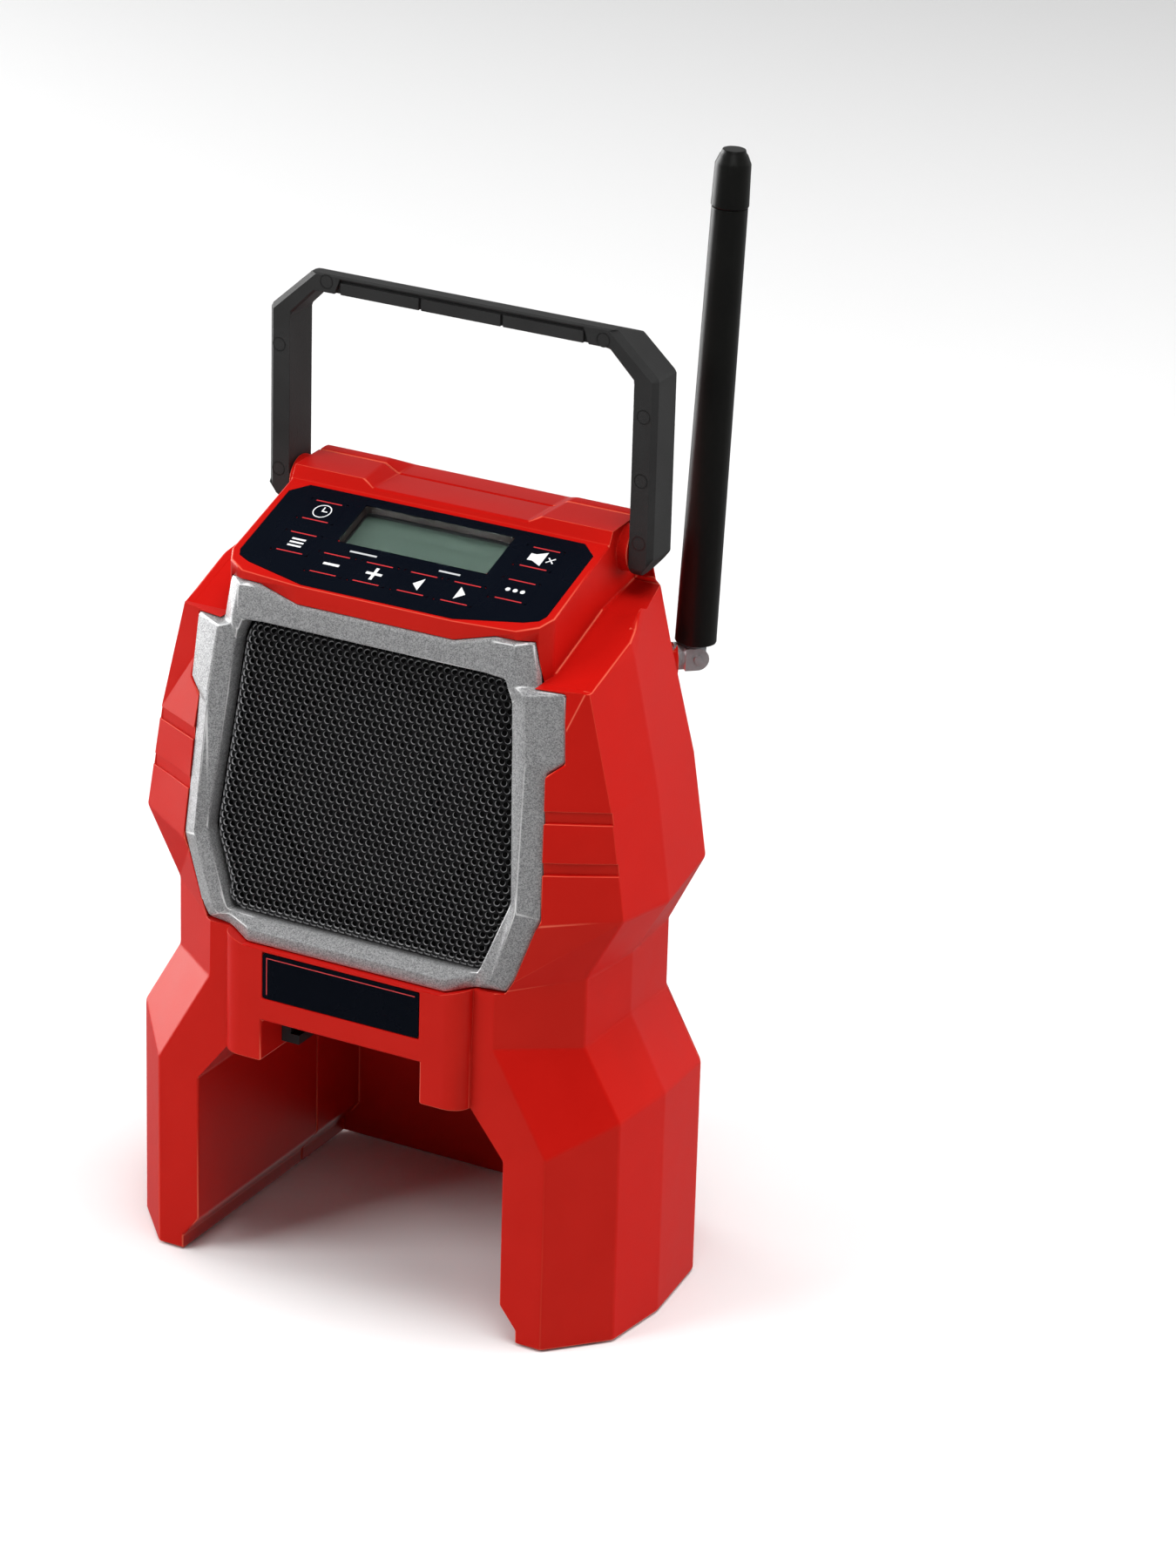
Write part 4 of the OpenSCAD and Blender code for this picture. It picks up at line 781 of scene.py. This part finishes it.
SIGNS = {
    "key_clock": [bar(0, 0.85, 0.42, 2.1), bar(0.75, 0, 1.9, 0.42)],
    "key_channel": [bar(0, 1.5, 4.6, 0.7), bar(0, 0, 4.6, 0.7), bar(0, -1.5, 4.6, 0.7)],
    "key_volume_down": [bar(0.4, 0, 5.3, 1.0)],
    "key_volume_up": [bar(0.4, 0, 5.3, 1.0), bar(0.4, 1.58, 1.0, 2.16), bar(0.4, -1.58, 1.0, 2.16)],
    "key_seek_back": [[(-1.3, -0.3), (1.4, -2.8), (1.4, 2.6)]],
    "key_seek_forward": [[(-1.1, -2.9), (1.6, -0.2), (-1.1, 2.6)]],
    "key_mute": [[(-3.6, -1.5), (-1.8, -1.5), (1.3, -3.1), (1.3, 3.1), (-1.8, 1.5), (-3.6, 1.5)],
                 bar(3.5, 0, 3.2, 0.42, 45), bar(3.5, 0, 3.2, 0.42, -45)],
    "key_mode": [disc(-2.4, 0, 0.75), disc(0, 0, 0.75), disc(2.4, 0, 0.75)],
}
for key, (x, y) in KEYS.items():
    shift = 0.4 if x > 0 else 0.0
    film = rounded_outline(inset(bar(x, y, KEY_W, KEY_H), -FILM_OVER_KEY), 1.35, 4)
    printed(key + "_film", [film], NAVY, key, -0.12, 0.008)
    lines = [bar(x + shift, y + 4.25, 8.7, 0.42), bar(x + shift, y - 4.35, 8.7, 0.42)]
    printed(key + "_lines", lines, PRINT_RED, key)
    rings = [(disc(x, y, 2.95, 40), disc(x, y, 2.6, 40))] if key == "key_clock" else ()
    sign = [[(x + shift + a, y + b) for a, b in outline] for outline in SIGNS[key]]
    printed(key + "_sign", sign, PRINT_WHITE, key, rings=rings)
printed("panel_bars", [bar(-14.4, 18.0, 9, 0.7), bar(14.4, 18.0, 7, 0.7)], PRINT_GREY, "casing")


# ---- Display -----------------------------------------------------------------------------------
# A clear lens closes the window. A grey-green display lies about 4 mm below it, held in a frame. The frame
# and the walls of the window are painted near black, a painted shade.

def clear_window():
    """Clear acrylic that reflects like a real lens, and lets lamps shine straight through."""
    material, tree, shader = new_material("clear_window")
    shader.inputs["Base Color"].default_value = (0.93, 0.95, 0.94, 1)
    shader.inputs["Roughness"].default_value = 0.02
    shader.inputs["Transmission Weight"].default_value = 1.0
    shader.inputs["IOR"].default_value = 1.02
    shader.inputs["Coat Weight"].default_value = 1.0
    path = tree.nodes.new("ShaderNodeLightPath")
    through = tree.nodes.new("ShaderNodeBsdfTransparent")
    through.inputs["Color"].default_value = (0.9, 0.92, 0.91, 1)
    mix = tree.nodes.new("ShaderNodeMixShader")
    tree.links.new(path.outputs["Is Shadow Ray"], mix.inputs["Fac"])
    tree.links.new(shader.outputs["BSDF"], mix.inputs[1])
    tree.links.new(through.outputs["BSDF"], mix.inputs[2])
    tree.links.new(mix.outputs["Shader"], tree.nodes["Material Output"].inputs["Surface"])
    return material


dress("display_window", clear_window())
# The red walls of the window's opening lie in shade under the lens, so they are painted near black as
# shade.
front_shell.data.materials.append(plain("window_wall_painted_shade", (0.02, 0.008, 0.008), 0.55))
to_panel = on_panel.inverted()
for polygon in front_shell.data.polygons:
    spot = to_panel @ polygon.center
    if abs(spot.x) < 25.4 and 20 < spot.y < 39.4 and -8 < spot.z < -0.1:
        polygon.material_index = 2
dress("lcd_glass", grained("display_grey_green", (0.045, 0.066, 0.056), (0.053, 0.076, 0.064), (0.3, 0.36),
                           0.2, 0.001, 9.0))
WHITE_PLASTIC = plain("white_plastic", (0.72, 0.72, 0.69), 0.45)
# The display's holder is painted near black as shade round the display.
dress("lcd_holder", plain("lcd_holder_painted_shade", (0.02, 0.02, 0.022), 0.35))
for node in ("backlight_panel", "board_connectors"):
    dress(node, WHITE_PLASTIC)


# ---- Badge -------------------------------------------------------------------------------------
# A bare navy plate with a red pinstripe along its top and left edges. The plate is glued into a
# recess of the casing, a hair below the casing's front.

BADGE_Z, BADGE_FRONT, BADGE_W, BADGE_H = 102.1, -53.5, 53.1, 14.6
badge = merged_copy("badge_plate", "badge_face")
for point in badge.data.vertices:
    if point.co.y < (BADGE_FRONT + 0.1) * MM:
        point.co.y += 0.04 * MM
stands_for(round_edges(badge, 0.3 * MM), "badge_plate", NAVY)
on_badge = (Matrix.Translation((0, BADGE_FRONT * MM, BADGE_Z * MM))
            @ Matrix.Rotation(math.radians(90), 4, "X") @ Matrix.Scale(MM, 4))
STRIPE_IN, STRIPE_W = 1.3, 0.3
stripe_x, stripe_y = -BADGE_W / 2 + STRIPE_IN, BADGE_H / 2 - STRIPE_IN
stripe_outline = [(stripe_x, -stripe_y), (stripe_x + STRIPE_W, -stripe_y),
                  (stripe_x + STRIPE_W, stripe_y - STRIPE_W), (-stripe_x, stripe_y - STRIPE_W),
                  (-stripe_x, stripe_y), (stripe_x, stripe_y)]
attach(solid("badge_stripe", *prism(stripe_outline, -0.2, 0.0), on_badge, PRINT_RED), "casing")


# ---- Handle ------------------------------------------------------------------------------------
# A one-piece bail of glass-filled charcoal plastic that turns on two stubs beside the panel. Its
# grain is coarser than the casing's. It folds down over the front.

CHARCOAL = grained("charcoal_handle", (0.021, 0.021, 0.021), (0.032, 0.032, 0.032), (0.5, 0.62), 0.5, 0.06,
                   shine=0.3)


HANDLE_FRONT_Y, PIVOT_Z = 10.2, 231


def handle_rounding(middle):
    """The front of the bail has a broad chamfer round its outer edge. The rest is rounded less."""
    x, y, z = abs(middle.x) / MM, middle.y / MM, middle.z / MM - PIVOT_Z
    outer = x > 62 or z > 64 or x / 14 + z / 12.7 > 8.7
    return 1.0 if outer and y < HANDLE_FRONT_Y + 0.2 else 0.3


handle = round_edges(merged_copy("handle", "handle_moulding"), 2.2 * MM, 1, smooth=12.0,
                     share=handle_rounding)
stands_for(handle, "handle", CHARCOAL, "handle")

# Round marks that the ejector pins left on the front of the bail
on_handle = (Matrix.Translation((0, HANDLE_FRONT_Y * MM, 0)) @ Matrix.Rotation(math.radians(90), 4, "X")
             @ Matrix.Scale(MM, 4))
PIN_PLACES = ((-60.9, 273.2), (-44.9, 295.2), (46.9, 294), (60.6, 273.4), (60.4, 254), (60.3, 235),
              (-60.9, 234.5))
pin_points, pin_faces = [], []
for x, z in PIN_PLACES:
    more_points, more_faces = ring_wall(disc(x, z, 2.2), disc(x, z, 1.9), -0.1, 0.02)
    pin_faces += [tuple(len(pin_points) + k for k in face) for face in more_faces]
    pin_points += more_points
marks = solid("pin_marks", pin_points, pin_faces, on_handle, plain("pin_mark", (0.012, 0.012, 0.012), 0.35))
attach(marks, "handle")


# ---- Aerial ------------------------------------------------------------------------------------
# A stiff rod aerial in a black rubber sleeve with a cap. It tilts on a chromed hinge, and the hinge
# turns in the mount on the casing's shoulder.

AERIAL_RUBBER = grained("aerial_rubber", (0.006, 0.006, 0.006), (0.009, 0.009, 0.008), (0.36, 0.44),
                        0.3, 0.01, shine=0.35)
for node in ("aerial_sleeve", "aerial_cap"):
    round_part = round_edges(merged_copy(node, node + "_rubber"), 0.5 * MM, angle=35.0)
    stands_for(round_part, node, AERIAL_RUBBER, "aerial_rod")
CHROME = plain("chrome", (0.8, 0.81, 0.83), 0.24, 0.75)
for node in ("aerial_mount", "aerial_knuckle", "aerial_hinge_pin", "aerial_ferrule"):
    dress(node, CHROME)


# ---- Inner pieces ------------------------------------------------------------------------------
# The speaker, the boards, the battery dock and the leads are hidden in the casing and keep their
# CAD shapes, so each only takes the plain finish of its kind.

INNER = {
    "board_green": (("control_board", "main_board"), (0.008, 0.08, 0.03), 0.35, 0),
    "black_plastic": (("key_switches", "battery_dock", "terminal_block"), (0.02, 0.02, 0.022), 0.5, 0),
    "basket_black": (("speaker_basket",), (0.03, 0.03, 0.032), 0.4, 0.3),
    "magnet_grey": (("speaker_magnet",), (0.08, 0.082, 0.085), 0.6, 0.4),
    "cone_paper": (("speaker_cone", "speaker_dust_cap"), (0.02, 0.02, 0.021), 0.8, 0),
    "surround_rubber": (("speaker_surround", "speaker_gasket"), (0.015, 0.015, 0.015), 0.6, 0),
    "tinned_steel": (("tuner_shield",), (0.6, 0.61, 0.62), 0.3, 1.0),
    "capacitor_sleeve": (("capacitors",), (0.015, 0.03, 0.09), 0.3, 0),
    "copper_blades": (("terminal_blades",), (0.75, 0.42, 0.2), 0.25, 1.0),
    "lead_insulation": (("battery_leads", "speaker_leads", "aerial_lead"), (0.05, 0.02, 0.02), 0.45, 0),
    "ribbon_grey": (("ribbon_cable",), (0.5, 0.48, 0.42), 0.5, 0),
}
for label, (nodes, colour, roughness, metallic) in INNER.items():
    finish = plain(label, colour, roughness, metallic)
    for node in nodes:
        dress(node, finish)


# ---- Studio ------------------------------------------------------------------------------------
# A pale seamless floor under soft lamps. Bright cards stand behind and beside the radio, so its
# flanks shine while its front stays deep, and the floor itself is kept out of the reflections.

floor = solid("studio_floor", *prism([(-6, -6), (6, -6), (6, 6), (-6, 6)], -0.02, 0), Matrix.Identity(4),
              plain("pale_floor", (0.84, 0.84, 0.84), 0.7))
floor.visible_glossy = False

world = bpy.data.worlds.new("studio_dark")
scene.world = world
world.use_nodes = True
dim = world.node_tree.nodes["Background"]
dim.inputs["Color"].default_value = (1, 1, 1, 1)
dim.inputs["Strength"].default_value = 0.025


def softbox(name, place, aim, width, height, power, shines):
    """A rectangular soft light that faces the aim point."""
    light = bpy.data.lights.new(name, "AREA")
    light.shape = "RECTANGLE"
    light.size, light.size_y = width, height
    light.energy = power
    box = bpy.data.objects.new(name, light)
    box.location = place
    box.rotation_euler = (Vector(aim) - Vector(place)).to_track_quat("-Z", "Y").to_euler()
    box.visible_camera = False
    box.visible_glossy = shines
    scene.collection.objects.link(box)


softbox("front_right", (1.0, -1.7, 1.8), (0, 0, 0.12), 1.2, 1.0, 5.5, True)
softbox("front_left", (-1.3, -1.5, 1.4), (0, 0, 0.12), 1.2, 1.0, 36, False)
softbox("side_right", (1.75, 1.1, 0.5), (0, 0, 0.15), 1.6, 1.4, 42, False)
softbox("side_left", (-1.9, 0.3, 0.4), (0, 0, 0.15), 1.6, 1.4, 42, True)
softbox("overhead", (0.4, -0.2, 2.3), (0, 0, 0.1), 1.4, 1.4, 50, False)


def reflector(name, low, high, glow):
    """A card that only shows up in reflections."""
    material, _, shader = new_material(name)
    shader.inputs["Base Color"].default_value = (0, 0, 0, 1)
    shader.inputs["Emission Color"].default_value = (1, 1, 1, 1)
    shader.inputs["Emission Strength"].default_value = glow
    (x0, y0, z0), (x1, y1, z1) = low, high
    card = solid(name, [(x0, y0, z0), (x1, y1, z0), (x1, y1, z1), (x0, y0, z1)], [(0, 1, 2, 3)],
                 Matrix.Identity(4), material)
    card.visible_camera = card.visible_diffuse = card.visible_shadow = False
    card.visible_transmission = False


reflector("card_behind", (-2.5, 2.2, -0.3), (2.5, 2.2, 1.8), 0.42)
reflector("card_low", (-2.5, 2.3, -3.0), (2.5, 2.3, -0.3), 0.25)
reflector("card_left", (-2.4, -0.6, -1.5), (-2.4, 2.2, 1.4), 0.35)

# The camera of the photograph: focal length in pixels of the 1800-pixel side, place and turn
CAMERA_FOCAL_PX, PHOTO_HEIGHT_PX = 6262.8, 1800
CAMERA_PLACE = (0.73806, -1.29611, 0.78016)
CAMERA_AZIMUTH, CAMERA_ELEVATION, CAMERA_ROLL = 27.9065, 22.8627, 1.6928
lens = bpy.data.cameras.new("photo_camera")
lens.sensor_fit = "VERTICAL"
lens.sensor_height = 36
lens.lens = CAMERA_FOCAL_PX * lens.sensor_height / PHOTO_HEIGHT_PX
lens.clip_end = 50
camera = bpy.data.objects.new("photo_camera", lens)
camera.matrix_world = (Matrix.Translation(CAMERA_PLACE)
                       @ Matrix.Rotation(math.radians(CAMERA_AZIMUTH), 4, "Z")
                       @ Matrix.Rotation(math.radians(90 - CAMERA_ELEVATION), 4, "X")
                       @ Matrix.Rotation(math.radians(CAMERA_ROLL), 4, "Z"))
scene.collection.objects.link(camera)
scene.camera = camera
scene.view_settings.view_transform = "Standard"
